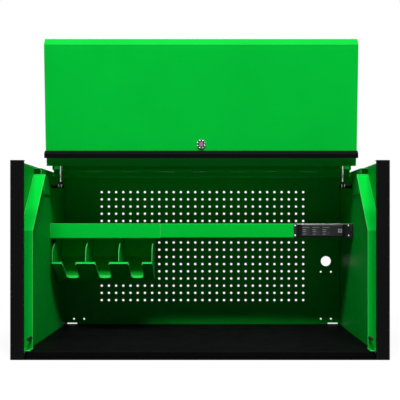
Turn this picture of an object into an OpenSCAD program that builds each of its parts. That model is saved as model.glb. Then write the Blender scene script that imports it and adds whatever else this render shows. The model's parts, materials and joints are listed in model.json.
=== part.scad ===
// Bench-top workstation hutch with a folding lid, in millimetres.
// X runs along the front, Y points to the rear and Z points up.
// The origin is the centre of the footprint, at the base. The lid is drawn open.

/* [Cabinet] */
// Width over the side walls
cab_w = 1041; // [960:1:1120]
// Depth from the post faces to the rear folds
cab_d = 635; // [615:1:660]
// Height of the side walls
cab_h = 548; // [536:1:570]
// Width of each front post
post_w = 36.5; // [34:0.1:44]
// Steel thickness of the outer walls and the base
shell_t = 1.5; // [1:0.1:2]
// Steel thickness of the inner panels
panel_t = 1.2; // [0.8:0.1:1.5]
// Radius inside each fold
bend_r = 1.5; // [1:0.1:2.5]
// Depth of the return behind each post face
post_return = 10; // [6:1:14]
// Depth of each post, with its lining
post_d = 21.5; // [18:0.5:24]
// Distance of the cheek panels from the outer faces of the side walls
cheek_x = 13.5; // [8.5:0.5:20.5]
// Depth of each cheek panel's rear edge behind the post faces
cheek_d = 290; // [240:5:320]
// Drop of the inner side walls below the outer ones
liner_drop = 5.5; // [4.8:0.1:8]
// Depth of the rear fold of each side wall
rear_fold = 25; // [15:1:32]
// Gap left where two pieces lie beside each other
seat_gap = 0.3; // [0.2:0.05:0.5]

/* [Door stops] */
// Depth of the stop faces behind the post faces
stop_set = 58; // [56:0.5:62]
// Distance that the stops reach into the bay from the inner side walls
stop_x = 13; // [10:0.5:18]
// Depth of the legs behind the stop faces
stop_leg = 20; // [12:1:24]
// Height from the stops' bend to the lid's bend
stop_bend_z = 20; // [19:1:35]
// Depth of the upper ends of the stops below the top
stop_top_z = 25; // [24:1:58]
// Depth of the return at each stop's inner edge
stop_hem = 6.5; // [4:0.5:10]
// Radius of each rubber bumper
bumper_r = 4; // [3:0.1:5]
// Height of the bumpers
bumper_z = 53.6; // [45:0.2:70]
// Distance of the bumpers from the inner side walls
bumper_x = 8; // [7:0.1:8.5]

/* [Worktop] */
// Height of the worktop
deck_h = 20.4; // [18:0.2:26]
// Depth of the worktop's sill behind the post faces
sill_set = 21.5; // [21:0.1:23]
// Height of the stiffening channels' feet above the bottom sheet
foot_gap = 1.2; // [1:0.1:2]
// Width of the stiffening channels under the worktop
channel_w = 40; // [30:1:60]
// Width of each foot of a stiffening channel
channel_foot = 15; // [10:1:20]
// Distance of the stiffening channels from the middle
channel_y = 150; // [100:5:200]

/* [Back panel] */
// Depth of the back panel in front of the rear folds
back_set = 17.8; // [14:0.2:24]
// Columns of tool holes
peg_cols = 29; // [25:1:31]
// Rows of tool holes
peg_rows = 16; // [12:1:17]
// Distance between tool holes
peg_pitch = 25.4; // [24:0.1:26]
// Radius of each tool hole
peg_r = 4; // [2.5:0.1:5]
// Height of the lowest row of tool holes above that of an even pattern
peg_low_z = 24.3; // [13.8:0.5:33.8]
// Radius of the cord hole
cord_r = 17.5; // [14:0.5:20]
// Distance of the cord hole from the inner side wall
cord_x = 48.5; // [39:0.5:64]
// Height of the cord hole
cord_z = 243; // [235:0.5:250]
// Radius of each accessory hole
acc_r = 3.2; // [2:0.1:4]
// Distance of the accessory holes' middle from the inner side walls
acc_x = 48.5; // [39:0.5:59]
// Distance between two accessory holes, across
acc_dx = 35.8; // [30:0.2:40]
// Height of the lower accessory holes
acc_low_z = 39.5; // [36:0.5:44]
// Distance between two accessory holes, up
acc_dz = 166; // [150:1:175]
// Length of each slot at the foot of the back panel
slot_l = 35; // [25:1:38]
// Height of each slot at the foot of the back panel
slot_h = 4; // [3:0.5:6]
// Distance of the slots' middle from the inner side walls
slot_x = 24.5; // [22:0.5:32]

/* [Shelf] */
// Height of the shelf's underside
shelf_z = 329; // [322:1:336]
// Distance of the shelf's front edge in front of the back panel
shelf_y = 256.7; // [244.7:0.5:264.7]
// Height of the shelf's front lip
lip_h = 46; // [45:1:52]
// Depth of the hem at the top of the lip
lip_hem = 8; // [5:1:12]
// Height of the flanges at the shelf's ends and rear
shelf_flange = 20; // [14:1:26]

/* [Tool holder] */
// Steel thickness of the holder
holder_t = 2; // [1.2:0.1:2]
// Number of bays
bays = 3; // [2:1:3]
// Width of one bay, from plate to plate
bay_w = 105; // [98:1:108]
// Distance of the first divider from the inner side wall
holder_x = 12; // [10:1:16]
// Length of the face plate past the last divider
face_end_x = 25; // [17:1:37]
// Distance of the tray's front edge in front of the shelf
tray_front_y = 31; // [25:1:35]
// Depth of the tray's front edge below the shelf
tray_front_z = 74.5; // [69:0.5:81]
// Distance of the trough behind the tray's front edge
trough_y = 108; // [98:1:113]
// Depth of the trough below the shelf
trough_z = 139; // [129:1:145]
// Distance of the tray's rear wall behind the tray's front edge
tray_rear_y = 161; // [153:1:173]
// Depth below the shelf where the tray's rear wall leans forward
tray_rear_z = 64; // [54:1:74]
// Depth of the flange round the tray's front edge and its notches
tray_flange = 8; // [5:1:10]
// Width of each tool notch
notch_w = 41; // [34:1:46]
// Length of each tool notch down the slope
notch_l = 98; // [80:1:102]
// Corner radius at the closed end of a notch
notch_r = 12; // [8:0.5:16]
// Corner radius at the mouth of a notch
mouth_r = 7; // [5:0.5:9]
// Depth of the dividers' brow behind the tray's front edge
brow_y = 8; // [4:1:14]
// Depth of the dividers' brow below the shelf
brow_z = 31; // [24:1:36]
// Length of the dividers' slope from the brow to the shelf
brow_l = 74; // [60:1:80]
// Radius of the dividers' brow
brow_r = 30; // [20:1:36]
// Radius of the dividers' other corners
divider_r = 4; // [2:0.5:6]

/* [Power strip] */
// Distance of the power strip's left end from its right end
strip_x0 = 180.5; // [175:0.5:190]
// Distance of the power strip's right end from the inner side wall
strip_x1 = 9; // [6:0.5:14]
// Width of each mounting ear
ear_w = 10; // [8:0.5:12]
// Height of the power strip
strip_h = 44; // [41:0.5:44.5]
// Depth of the housing in front of the shelf lip
strip_proud = 11; // [8:0.5:14]
// Depth of the housing behind the shelf lip
strip_deep = 38; // [30:1:50]
// Width and height of each outlet
outlet_w = 24.5; // [22:0.5:26]
// Distance from one outlet to the next
outlet_pitch = 32; // [29:0.5:34]
// Distance of the first outlet from the strip's left end
outlet_x = 38.3; // [35.5:0.2:40.5]
// Distance of the charging ports from the strip's right end
usb_x = 33.5; // [30:0.5:37]
// Width and height of the charging port plate
usb_w = 13; // [11:0.5:15]
// Height of the bevels above and below the strip's face
strip_bevel = 4; // [2:0.5:6]
// Corner radius of the strip's face
strip_r = 2; // [1:0.5:3]
// Depth of the pockets for the outlets and the charging ports
pocket_d = 6; // [5.5:0.5:8]
// Depth of each outlet face behind the housing's face
outlet_set = 1; // [0.5:0.1:1.5]
// Depth of the charging port plate behind the housing's face
usb_set = 0.5; // [0.3:0.1:1]
// Length of each blade slot
blade_l = 8; // [6:0.5:9]
// Width of each blade slot
blade_w = 2; // [1.5:0.1:2.5]
// Distance of each blade slot from the outlet's middle, up and down
blade_dz = 6.3; // [5:0.1:7]
// Distance of the blade slots' middle from the outlet's middle
blade_dx = 3; // [2:0.5:4]
// Radius of the earth hole
earth_r = 2.4; // [2:0.1:2.8]
// Distance of the earth hole from the outlet's middle
earth_dx = 6.5; // [5.5:0.5:8]
// Depth of the slots, earth holes and charging ports
socket_d = 3.6; // [2:0.1:3.8]
// Width of each charging port
port_w = 9.2; // [7:0.1:10]
// Height of each charging port
port_h = 3.2; // [2.5:0.1:4]
// Radius of each screw head
screw_head_r = 3.2; // [2.5:0.1:4]
// Height of each screw head
screw_head_h = 2; // [1:0.1:3]
// Radius of each screw
screw_r = 1.6; // [1:0.1:2]
// Distance of the screws from the strip's middle, up and down
screw_dz = 16; // [13:0.5:17]

/* [Lid] */
// Gap between the lid and each post
lid_side_gap = 1.5; // [0.8:0.1:2.5]
// Thickness of both lid leaves
lid_t = 18; // [16:0.5:18]
// Depth of the closed lid's face behind the post faces
lid_set = 1; // [0.5:0.1:1.5]
// Height of the closed lid's lower edge
lid_low_z = 2.5; // [2.2:0.1:4]
// Height where the closed front leaf leans back
lid_bend_z = 375; // [372:0.5:380]
// Length of the leaning hem of the front leaf
hem_l = 28; // [24:0.5:34]
// Corner radius of the lid's bends
lid_bend_r = 4; // [3:0.5:6]
// Height of the set-back lower lip of the front leaf
lip_low_h = 24.5; // [20:0.5:30]
// Depth of the lower lip behind the leaf's face
lip_low_set = 9; // [6:0.5:11]
// Depth of the fixed top panel
top_panel_d = 232; // [229:1:234]
// Depth of the front flange of the fixed top panel
top_flange = 18; // [14:0.5:22]
// Angle between the lid's open and closed positions
lid_open = 98; // [92:0.1:98.4]
// Lean of the front leaf when the lid is open
front_lean = 4.9; // [2:0.1:6]

/* [Hinges] */
// Radius of the hinge knuckles
knuckle_r = 2.3; // [2.2:0.05:2.5]
// Radius of the hinge pins
hinge_pin_r = 1.1; // [0.9:0.05:1.2]
// Running clearance round a pin
run_gap = 0.05; // [0.03:0.01:0.08]
// Gap between two panels at a hinge
hinge_gap = 3; // [2.8:0.1:3.4]
// Thickness of a hinge leaf
hinge_t = 1; // [0.8:0.05:1.1]
// Depth of a hinge leaf
hinge_d = 14; // [10:0.5:15]
// Distance of the hinges' ends inside the lid's sides
hinge_l = 47.5; // [42.5:0.5:82.5]
// Number of knuckles on each hinge
knuckles = 15; // [9:2:19]
// Gap between two knuckles
knuckle_gap = 0.4; // [0.3:0.05:0.6]

/* [Pull] */
// Height of the pull
pull_h = 23; // [20:0.5:26]
// Depth of the pull in front of the leaf
pull_d = 25; // [20:0.5:28]
// Wall of the pull
pull_t = 2.4; // [2:0.1:3]
// Depth of the flat on top of the pull
pull_flat = 11; // [8:0.5:14]
// Fall of the pull's slope, from its flat to its front
pull_fall = 8; // [4:0.5:10]
// Outer radius of the pull's bends
pull_r = 5; // [3.5:0.5:6]

/* [Lock] */
// Height of the lock on the closed lid
lock_z = 70; // [66:0.5:76]
// Outer radius of the lock's ring
lock_ring_r = 15; // [13:0.5:17]
// Radius of the lock's body
lock_body_r = 10.5; // [9.8:0.1:11]
// Radius of the lock's barrel
lock_barrel_r = 8.5; // [7.5:0.1:9]
// Height of the ring's step above the leaf's face
ring_step_h = 2.2; // [1.5:0.1:3]
// Height of the ring above the leaf's face
ring_h = 4; // [3.5:0.1:5]
// Width of the ring's step
ring_step_w = 2; // [1:0.1:3]
// Height of the barrel above the ring
barrel_proud = 0.6; // [0.3:0.1:1.5]
// Radius of the keyway
key_r = 4.6; // [3:0.1:5]
// Depth of the keyway
key_d = 8; // [5:0.5:12]
// Radius of the post inside the keyway
key_post_r = 2.6; // [1.5:0.1:2.8]
// Depth of the post's end behind the barrel's face
key_post_set = 1; // [0.5:0.1:2]
// Length of the lock body behind the inner sheet
lock_tail = 2; // [1.5:0.1:2.5]
// Radius of the barrel's tail
tail_r = 5; // [4:0.1:6]
// Length of the barrel's tail behind the cam
tail_proud = 1; // [0.5:0.1:2]
// Radius of the nut over its corners
nut_r = 16.5; // [14:0.5:18]
// Thickness of the nut
nut_t = 4; // [3:0.5:5]
// Radius of each finger scallop
scallop_r = 1.8; // [1:0.1:2.2]
// Number of finger scallops round the ring
scallops = 12; // [8:1:16]
// Length of the cam from its axis
cam_l = 61; // [58:0.5:63]
// Width of the cam
cam_w = 16; // [12:0.5:18]
// Thickness of the cam
cam_t = 3; // [2:0.1:3.2]
// Gap between the cam and the rear of the sill
cam_gap = 2.2; // [1.8:0.1:3]
// Gap round the cam in the worktop's slot
cam_slot_gap = 0.8; // [0.6:0.1:1.5]
// Gap at each end of the worktop's slot
cam_end_gap = 4; // [2:0.5:6]

/* [Struts] */
// Distance of each strut from the inner side wall
strut_x = 31.5; // [29:0.5:34]
// Distance of the lower strut pivot in front of the lid hinge
strut_low_y = 40; // [36.5:0.5:42.5]
// Depth of the lower strut pivot below the lid hinge
strut_low_z = 51.7; // [47.7:0.5:55.7]
// Distance of the upper strut pivot from the lid hinge
strut_reach = 200; // [195:0.5:205]
// Depth of the upper strut pivot below the lid's face
strut_drop = 14; // [13:0.1:15]
// Radius of a strut's cylinder
strut_cyl_r = 7.5; // [6.5:0.1:8]
// Radius of a strut's rod
strut_rod_r = 3; // [2.5:0.1:4]
// Length of a strut's cylinder
strut_cyl_l = 128; // [120:1:129]
// Thickness of the closed end of a strut's cylinder
cyl_end_t = 6; // [4:0.5:10]
// Radius of a strut's end fittings
fitting_r = 7; // [6:0.1:8]
// Radius of the neck of a strut's end fittings
fitting_neck_r = 6; // [5:0.1:6.8]
// Length of a strut's end fittings, from the pivot
fitting_l = 14; // [12:0.5:16]
// Radius of a strut's pivot pin
strut_pin_r = 3.5; // [3:0.1:4]
// Radius of the studs' shoulders
stud_r = 6; // [5:0.5:7]
// Radius of the wall studs' heads
stud_head_r = 5.5; // [5:0.5:7]
// Thickness of the wall studs' heads
stud_head_t = 3.5; // [2:0.5:5]
// Thickness of the strut brackets and of the lid studs' plates
bracket_t = 3; // [2:0.5:4]
// Depth of the strut brackets' lower edges below their studs
bracket_z = 28; // [19:1:39]
// Height of the strut brackets
bracket_h = 58; // [40:1:58]
// Length of the strut brackets
bracket_l = 120; // [80:1:140]
// Distance of the strut brackets' rear edges behind their studs
bracket_rear_y = 14.5; // [10.5:0.5:24.5]
// Length of the lid studs' plates
lid_plate_l = 40; // [30:1:60]
// Height of the lid studs' plates
lid_plate_h = 12; // [11:0.5:14]
// Distance of the rear leaf's inner sheet's ends past the hinges
strut_room = 2; // [1:0.5:2.5]

/* [Hidden] */
$fn = 40;
eps = 0.01;
cut = 1;
bend_steps = 4;

half_w = cab_w / 2;
front_y = -cab_d / 2;
rear_y = cab_d / 2;
bay_x = half_w - post_w;
between_x = bay_x - seat_gap;
cheek_at = half_w - cheek_x;
lining_x = bay_x + shell_t + seat_gap;
post_rear_y = front_y + post_d;
cheek_rear_y = front_y + cheek_d;
liner_top_z = cab_h - liner_drop;
sill_y = front_y + sill_set;
stop_at = bay_x - stop_x;
stop_bend_at = lid_bend_z - stop_bend_z;
stop_top_at = cab_h - stop_top_z;
stop_y = front_y + stop_set;
stop_top_y = stop_y + stop_top_at - stop_bend_at;
stop_far_x = cheek_at - seat_gap;
back_y = rear_y - back_set;
rim_y = rear_y - shell_t - seat_gap;
shelf_at = back_y - shelf_y;

lid_x = bay_x - lid_side_gap;
hinge_length = 2 * (lid_x - hinge_l);
face_y = front_y + lid_set;
top_z = cab_h - 2 * knuckle_r;
pivot = [rear_y - top_panel_d, cab_h - knuckle_r];
slope = [sqrt(0.5), sqrt(0.5)];
inward = [sqrt(0.5), -sqrt(0.5)];
half_tan = tan(22.5);
corner = [face_y, lid_bend_z];
crest = [face_y + top_z - lid_bend_z, top_z];
fold_depth = lid_t + knuckle_r + seat_gap;
fold = corner + hem_l * slope + fold_depth * inward;
inner_y = face_y + lid_t;
bumper_at = bay_x - bumper_x;

peg_low_at = (top_z - (peg_rows - 1) * peg_pitch) / 2 + peg_low_z;
cord_at = bay_x - cord_x;
acc_at = bay_x - acc_x;
slot_at = bay_x - slot_x;

holder_at = bay_x - holder_x;
face_end_at = holder_at - bays * bay_w - face_end_x;
tray_front_at = shelf_at - tray_front_y;
tray_front_up = shelf_z - tray_front_z;
trough_at = tray_front_at + trough_y;
trough_up = shelf_z - trough_z;
tray_rear_at = tray_front_at + tray_rear_y;
tray_rear_up = shelf_z - tray_rear_z;

strut_at = bay_x - strut_x;
strut_low = pivot - [strut_low_y, strut_low_z];
bracket_low = strut_low[1] - bracket_z;
bracket_rear = strut_low[0] + bracket_rear_y;
strut_high_shut = [pivot[0] - strut_reach, top_z - strut_drop];
strut_high = pivot + turned(strut_high_shut - pivot, -lid_open);
strut_l = norm(strut_high - strut_low);
strut_lean = atan2(strut_low[0] - strut_high[0], strut_high[1] - strut_low[1]);
stud_end_x = strut_at + strut_cyl_r + seat_gap;
rod_l = strut_l - fitting_l - strut_cyl_l;
stud_head_x = strut_at - strut_cyl_r - seat_gap;

lock_tail_y = inner_y + lock_tail;
cam_y = sill_y + panel_t + cam_gap;

strip_right = bay_x - strip_x1;
strip_left = strip_right - strip_x0;
outlet_at = strip_left + outlet_x;
usb_at = strip_right - usb_x;
strip_low_z = shelf_z + (lip_h - strip_h) / 2;
strip_high_z = strip_low_z + strip_h;
strip_mid_z = strip_low_z + strip_h / 2;
strip_face_y = shelf_at - strip_proud;
strip_back_y = shelf_at - seat_gap;
ear_y = strip_back_y - holder_t;
body_x0 = strip_left + ear_w;
body_x1 = strip_right - ear_w;
screw_xs = [strip_left + ear_w / 2, strip_right - ear_w / 2];

// A point turned about the X axis by an angle
function turned(p, a) = [p[0] * cos(a) - p[1] * sin(a), p[0] * sin(a) + p[1] * cos(a)];

// The unit vector of v
function unit(v) = v / norm(v);

// The vector a quarter turn to the left of v
function left_of(v) = [-v[1], v[0]];

// Points of a round corner at q, between its neighbours p and n
function arc_at(p, q, n, r) =
  let (
    a = unit(p - q),
    b = unit(n - q),
    half = acos(a * b) / 2,
    c = q + unit(a + b) * r / sin(half),
    s = q + a * r / tan(half) - c,
    e = q + b * r / tan(half) - c,
    a0 = atan2(s[1], s[0]),
    turn = (atan2(e[1], e[0]) - a0 + 900) % 360 - 180
  )
  [for (i = [0 : bend_steps]) c + r * [cos(a0 + turn * i / bend_steps), sin(a0 + turn * i / bend_steps)]];

// An open run of points [y, z, radius] with its inner corners rounded
function rounded_run(pts) =
  let (last = len(pts) - 1)
  [
    for (i = [0 : last])
      let (q = [pts[i][0], pts[i][1]])
      each (i == 0 || i == last || pts[i][2] <= 0) ? [q]
        : arc_at([pts[i - 1][0], pts[i - 1][1]], q, [pts[i + 1][0], pts[i + 1][1]], pts[i][2])
  ];

// A closed outline of points [y, z, radius] with all its corners rounded
function rounded_loop(pts) =
  let (n = len(pts))
  [
    for (i = [0 : n - 1])
      let (
        p = pts[(i + n - 1) % n],
        q = pts[i],
        s = pts[(i + 1) % n]
      )
      each q[2] <= 0 ? [[q[0], q[1]]] : arc_at([p[0], p[1]], [q[0], q[1]], [s[0], s[1]], q[2])
  ];

// The turn at point i of a run, positive to the left
function turn_at(pts, i) = cross(pts[i] - pts[i - 1], pts[i + 1] - pts[i]);

// The place of point i of a run when the run moves to its left by d
function moved(pts, i, d) =
  let (last = len(pts) - 1)
  i == 0 ? pts[0] + d * unit(left_of(pts[1] - pts[0]))
    : i == last ? pts[last] + d * unit(left_of(pts[last] - pts[last - 1]))
    : let (a = unit(left_of(pts[i] - pts[i - 1])), b = unit(left_of(pts[i + 1] - pts[i])))
      pts[i] + d * (a + b) / (1 + a * b);

// The outline of a sheet of thickness t folded along a run, to the left of the run
function fold_outline(pts, t, r) =
  let (
    last = len(pts) - 1,
    face = [
      for (i = [0 : last])
        [pts[i][0], pts[i][1], (i == 0 || i == last) ? 0 : turn_at(pts, i) > 0 ? r + t : r]
    ],
    back = [
      for (i = [last : -1 : 0])
        let (m = moved(pts, i, t))
        [m[0], m[1], (i == 0 || i == last) ? 0 : turn_at(pts, i) > 0 ? r : r + t]
    ]
  )
  concat(rounded_run(face), rounded_run(back));

// A YZ outline stretched along X, from x0 to x1
module across(x0, x1) {
  translate([x0, 0, 0]) rotate([90, 0, 90]) linear_extrude(x1 - x0) children();
}

// A sheet folded along a YZ run and stretched along X
module folded(pts, t, x0, x1) {
  across(x0, x1) polygon(fold_outline(pts, t, bend_r));
}

// A box from one corner to the other
module block(a, b) {
  translate(a) cube(b - a);
}

// A round bar along X
module bar_x(r, x0, x1, y, z) {
  translate([x0, y, z]) rotate([0, 90, 0]) cylinder(r = r, h = x1 - x0);
}

// A round bar along Y
module bar_y(r, y0, y1, x, z) {
  translate([x, y0, z]) rotate([-90, 0, 0]) cylinder(r = r, h = y1 - y0);
}

// Takes a piece of the closed rear leaf to its open place
module rear_leaf_place() {
  translate([0, pivot[0], pivot[1]]) rotate([-lid_open, 0, 0])
    translate([0, -pivot[0], -pivot[1]]) children();
}

// Takes a piece of the closed front leaf to its open place
module front_leaf_place() {
  rear_leaf_place()
    translate([0, fold[0], fold[1]]) rotate([lid_open + front_lean, 0, 0])
      translate([0, -fold[0], -fold[1]]) children();
}

// Takes a piece drawn up the Z axis to a strut, from its lower pivot
module strut_place() {
  translate([0, strut_low[0], strut_low[1]]) rotate([strut_lean, 0, 0]) children();
}

// Draws a right-hand piece on the left
module on_left() {
  mirror([1, 0, 0]) children();
}

// Outer side wall: face, front post, rear fold and both end caps
module side_shell() {
  plan = [
    [bay_x, front_y + post_return], [bay_x, front_y], [half_w, front_y],
    [half_w, rear_y], [half_w - rear_fold, rear_y]
  ];
  in_wall = shell_t * 0.6;
  color("#141416") {
    linear_extrude(cab_h) polygon(fold_outline(plan, shell_t, bend_r));
    for (z = [0, cab_h - shell_t])
      block([cheek_at, front_y + in_wall, z], [half_w - in_wall, rear_y - in_wall, z + shell_t]);
    block([bay_x, front_y + in_wall, cab_h - shell_t], [half_w - in_wall, post_rear_y, cab_h]);
  }
}

module left_side_shell() { on_left() side_shell(); }
module right_side_shell() { side_shell(); }

// Green panel that lines the post and the front of the outer wall
module cheek_panel() {
  near_y = front_y + shell_t + seat_gap;
  plan = [
    [cheek_at, cheek_rear_y], [cheek_at, post_rear_y], [lining_x, post_rear_y], [lining_x, near_y],
    [lining_x + post_return, near_y]
  ];
  color("#0a8a2e") translate([0, 0, shell_t])
    linear_extrude(cab_h - 2 * shell_t - seat_gap) polygon(fold_outline(plan, panel_t, bend_r));
}

module left_cheek_panel() { on_left() cheek_panel(); }
module right_cheek_panel() { cheek_panel(); }

// Inner side wall behind the stop, with its top hem and rear flange
module side_liner() {
  back = shell_t + seat_gap;
  edge = [[stop_top_y, stop_top_at], [stop_y, stop_bend_at], [stop_y, deck_h]];
  front = [for (i = [0 : 2]) moved(edge, i, back)];
  face = concat(
    [[front[0][0], liner_top_z]], front, [[front[2][0], back], [rim_y, back], [rim_y, liner_top_z]]
  );
  color("#0a8a2e") {
    across(bay_x, bay_x + panel_t) polygon(face);
    block([bay_x, front[0][0], liner_top_z - panel_t], [cheek_at - seat_gap, rim_y, liner_top_z]);
    block([bay_x, rim_y - panel_t, back], [half_w - rear_fold / 2, rim_y, liner_top_z]);
  }
}

module left_side_liner() { on_left() side_liner(); }
module right_side_liner() { side_liner(); }

// Bent channel that stops the closed lid, with a foot on the worktop
module stop_rail() {
  foot_z = deck_h + seat_gap + shell_t;
  run = [
    [stop_top_y, stop_top_at], [stop_y, stop_bend_at], [stop_y, foot_z], [sill_y + bend_r, foot_z]
  ];
  legs = [run[0], run[1], run[2]];
  color("#10b83c") {
    folded(run, shell_t, stop_at, stop_far_x);
    folded(legs, stop_leg, stop_far_x - shell_t, stop_far_x);
    folded(legs, stop_hem, stop_at, stop_at + shell_t);
  }
}

module left_stop_rail() { on_left() stop_rail(); }
module right_stop_rail() { stop_rail(); }

// Rubber bumpers on the stops, just clear of the closed lid
module stop_bumpers() {
  color("#1a1a1a")
    for (side = [-1, 1])
      bar_y(bumper_r, inner_y + seat_gap, stop_y, side * bumper_at, bumper_z);
}

// Bottom sheet, with a ledge under the closed lid and a rear flange
module base_pan() {
  run = [[front_y + seat_gap, 0], [rim_y, 0], [rim_y, deck_h - panel_t]];
  color("#17171a") folded(run, shell_t, -bay_x + seat_gap, bay_x - seat_gap);
}

// Two hat channels that carry the worktop on the bottom sheet
module deck_channels() {
  top = deck_h - panel_t;
  foot_z = shell_t + foot_gap;
  color("#1c1c1f")
    for (y = [-channel_y, channel_y]) {
      near = y - channel_w / 2;
      far = y + channel_w / 2;
      run = [
        [far + channel_foot, foot_z], [far, foot_z], [far, top], [near, top],
        [near, foot_z], [near - channel_foot, foot_z]
      ];
      folded(run, panel_t, -between_x + shell_t, between_x - shell_t);
    }
}

// Worktop with a front sill, a rear flange and the slot for the lock's cam
module worktop() {
  far = back_y - seat_gap;
  low = shell_t + seat_gap;
  run = [[far, low], [far, deck_h], [sill_y, deck_h], [sill_y, low]];
  slot_half = cam_w / 2 + cam_end_gap;
  color("#121215")
    difference() {
      folded(run, panel_t, -between_x, between_x);
      block([-slot_half, cam_y - cam_slot_gap, low + panel_t],
        [slot_half, cam_y + cam_t + cam_slot_gap, deck_h + cut]);
    }
}

// Back panel with its tool holes, cord hole, accessory holes and foot slots
module back_panel() {
  low = deck_h + seat_gap;
  high = top_z - panel_t - bend_r;
  plan = [[-between_x, rim_y], [-between_x, back_y], [between_x, back_y], [between_x, rim_y]];
  near = back_y - cut;
  far = back_y + panel_t + cut;
  slot_z = low + panel_t;
  color("#0b7d2a")
    difference() {
      translate([0, 0, low]) linear_extrude(high - low) polygon(fold_outline(plan, panel_t, bend_r));
      for (c = [0 : peg_cols - 1], r = [0 : peg_rows - 1])
        bar_y(peg_r, near, far, (c - (peg_cols - 1) / 2) * peg_pitch, peg_low_at + r * peg_pitch);
      bar_y(cord_r, near, far, cord_at, cord_z);
      for (side = [-1, 1]) {
        for (dx = [-0.5, 0.5], dz = [0, 1])
          bar_y(acc_r, near, far, side * acc_at + dx * acc_dx, acc_low_z + dz * acc_dz);
        block([side * slot_at - slot_l / 2, near, slot_z],
          [side * slot_at + slot_l / 2, far, slot_z + slot_h]);
      }
    }
}

// Fixed top panel behind the lid, with a boxed front flange
module rear_top_panel() {
  near = pivot[0] + hinge_gap / 2;
  run = [
    [rim_y + shell_t, top_z - top_flange], [rim_y + shell_t, top_z], [near, top_z],
    [near, top_z - top_flange], [near + top_flange / 2, top_z - top_flange]
  ];
  color("#0fae3a") folded(run, panel_t, -between_x, between_x);
}

// Shelf with a front lip, end flanges and a window for the power strip
module shelf() {
  far = back_y - seat_gap;
  run = [
    [shelf_at + lip_hem, shelf_z + lip_h], [shelf_at, shelf_z + lip_h], [shelf_at, shelf_z],
    [far, shelf_z], [far, shelf_z + shelf_flange]
  ];
  color("#12b53e")
    difference() {
      union() {
        folded(run, panel_t, -between_x, between_x);
        for (side = [-1, 1])
          block([side * (between_x - panel_t / 2) - panel_t / 2, shelf_at + 2 * bend_r, shelf_z + panel_t / 2],
            [side * (between_x - panel_t / 2) + panel_t / 2, far - 2 * bend_r, shelf_z + shelf_flange]);
      }
      block([body_x0 - seat_gap, shelf_at - cut, shelf_z + 2 * bend_r],
        [body_x1 + seat_gap, shelf_at + lip_hem + cut, shelf_z + lip_h + cut]);
    }
}

// Face plate of the tool holder, in front of the lip and under the shelf
module holder_face() {
  near = shelf_at - seat_gap - holder_t;
  under = shelf_z - seat_gap - holder_t;
  run = [[near, shelf_z + lip_h], [near, under], [tray_rear_at + holder_t, under]];
  color("#14bb41") folded(run, holder_t, -between_x, -face_end_at);
}

// The outline of a tool notch, grown by g into the sheet
function notch_outline(g) =
  let (w = notch_w / 2 + g, m = notch_w / 2 + 2 * mouth_r)
  rounded_loop([
    [-m, -1, 0], [-m, g, 0], [-w, g, mouth_r - g], [-w, notch_l + g, notch_r + g],
    [w, notch_l + g, notch_r + g], [w, g, mouth_r - g], [m, g, 0], [m, -1, 0]
  ]);

// Takes a shape drawn on the tray's front slope to its place in bay i
module on_slope(i) {
  down = atan2(tray_front_up - trough_up, trough_at - tray_front_at);
  translate([-holder_at + bay_w * (i + 0.5), tray_front_at, tray_front_up]) rotate([-down, 0, 0]) children();
}

// Folded tray of the tool holder, with a flanged notch in each bay
module holder_tray() {
  down = unit([trough_at - tray_front_at, trough_up - tray_front_up]);
  edge = [tray_front_at, tray_front_up];
  run = [
    [tray_rear_at, shelf_z - seat_gap - holder_t], [tray_rear_at, tray_rear_up], [trough_at, trough_up],
    edge, edge - tray_flange * left_of(down)
  ];
  half_plate = holder_t / 2;
  color("#0f9c36") {
    difference() {
      folded(run, holder_t, -holder_at - half_plate, -holder_at + bays * bay_w + half_plate);
      for (i = [0 : bays - 1])
        on_slope(i) translate([0, 0, -tray_flange - holder_t]) linear_extrude(tray_flange + 2 * holder_t)
          polygon(notch_outline(0));
    }
    for (i = [0 : bays - 1])
      on_slope(i) translate([0, 0, -tray_flange]) linear_extrude(tray_flange - bend_r)
        difference() {
          polygon(notch_outline(holder_t));
          polygon(notch_outline(0));
          translate([-bay_w, -bay_w]) square([2 * bay_w, bay_w + mouth_r]);
        }
  }
}

// Four plates that divide the tray into bays
module holder_dividers() {
  brow = [tray_front_at + brow_y, shelf_z - brow_z];
  top = shelf_z - seat_gap - holder_t;
  plate = rounded_loop([
    [brow[0] + brow_l, top, 0], [brow[0], brow[1], brow_r], [tray_front_at, tray_front_up, divider_r],
    [trough_at, trough_up, divider_r], [tray_rear_at, tray_rear_up, divider_r], [tray_rear_at, top, 0]
  ]);
  color("#0f9c36")
    for (i = [0 : bays])
      let (x = -holder_at + i * bay_w)
      across(x - holder_t / 2, x + holder_t / 2) polygon(plate);
}

// A square pocket in the front of the strip, w wide, about x
module strip_pocket(x, w) {
  block([x - w / 2, strip_face_y - cut, strip_mid_z - w / 2],
    [x + w / 2, strip_face_y + pocket_d, strip_mid_z + w / 2]);
}

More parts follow.
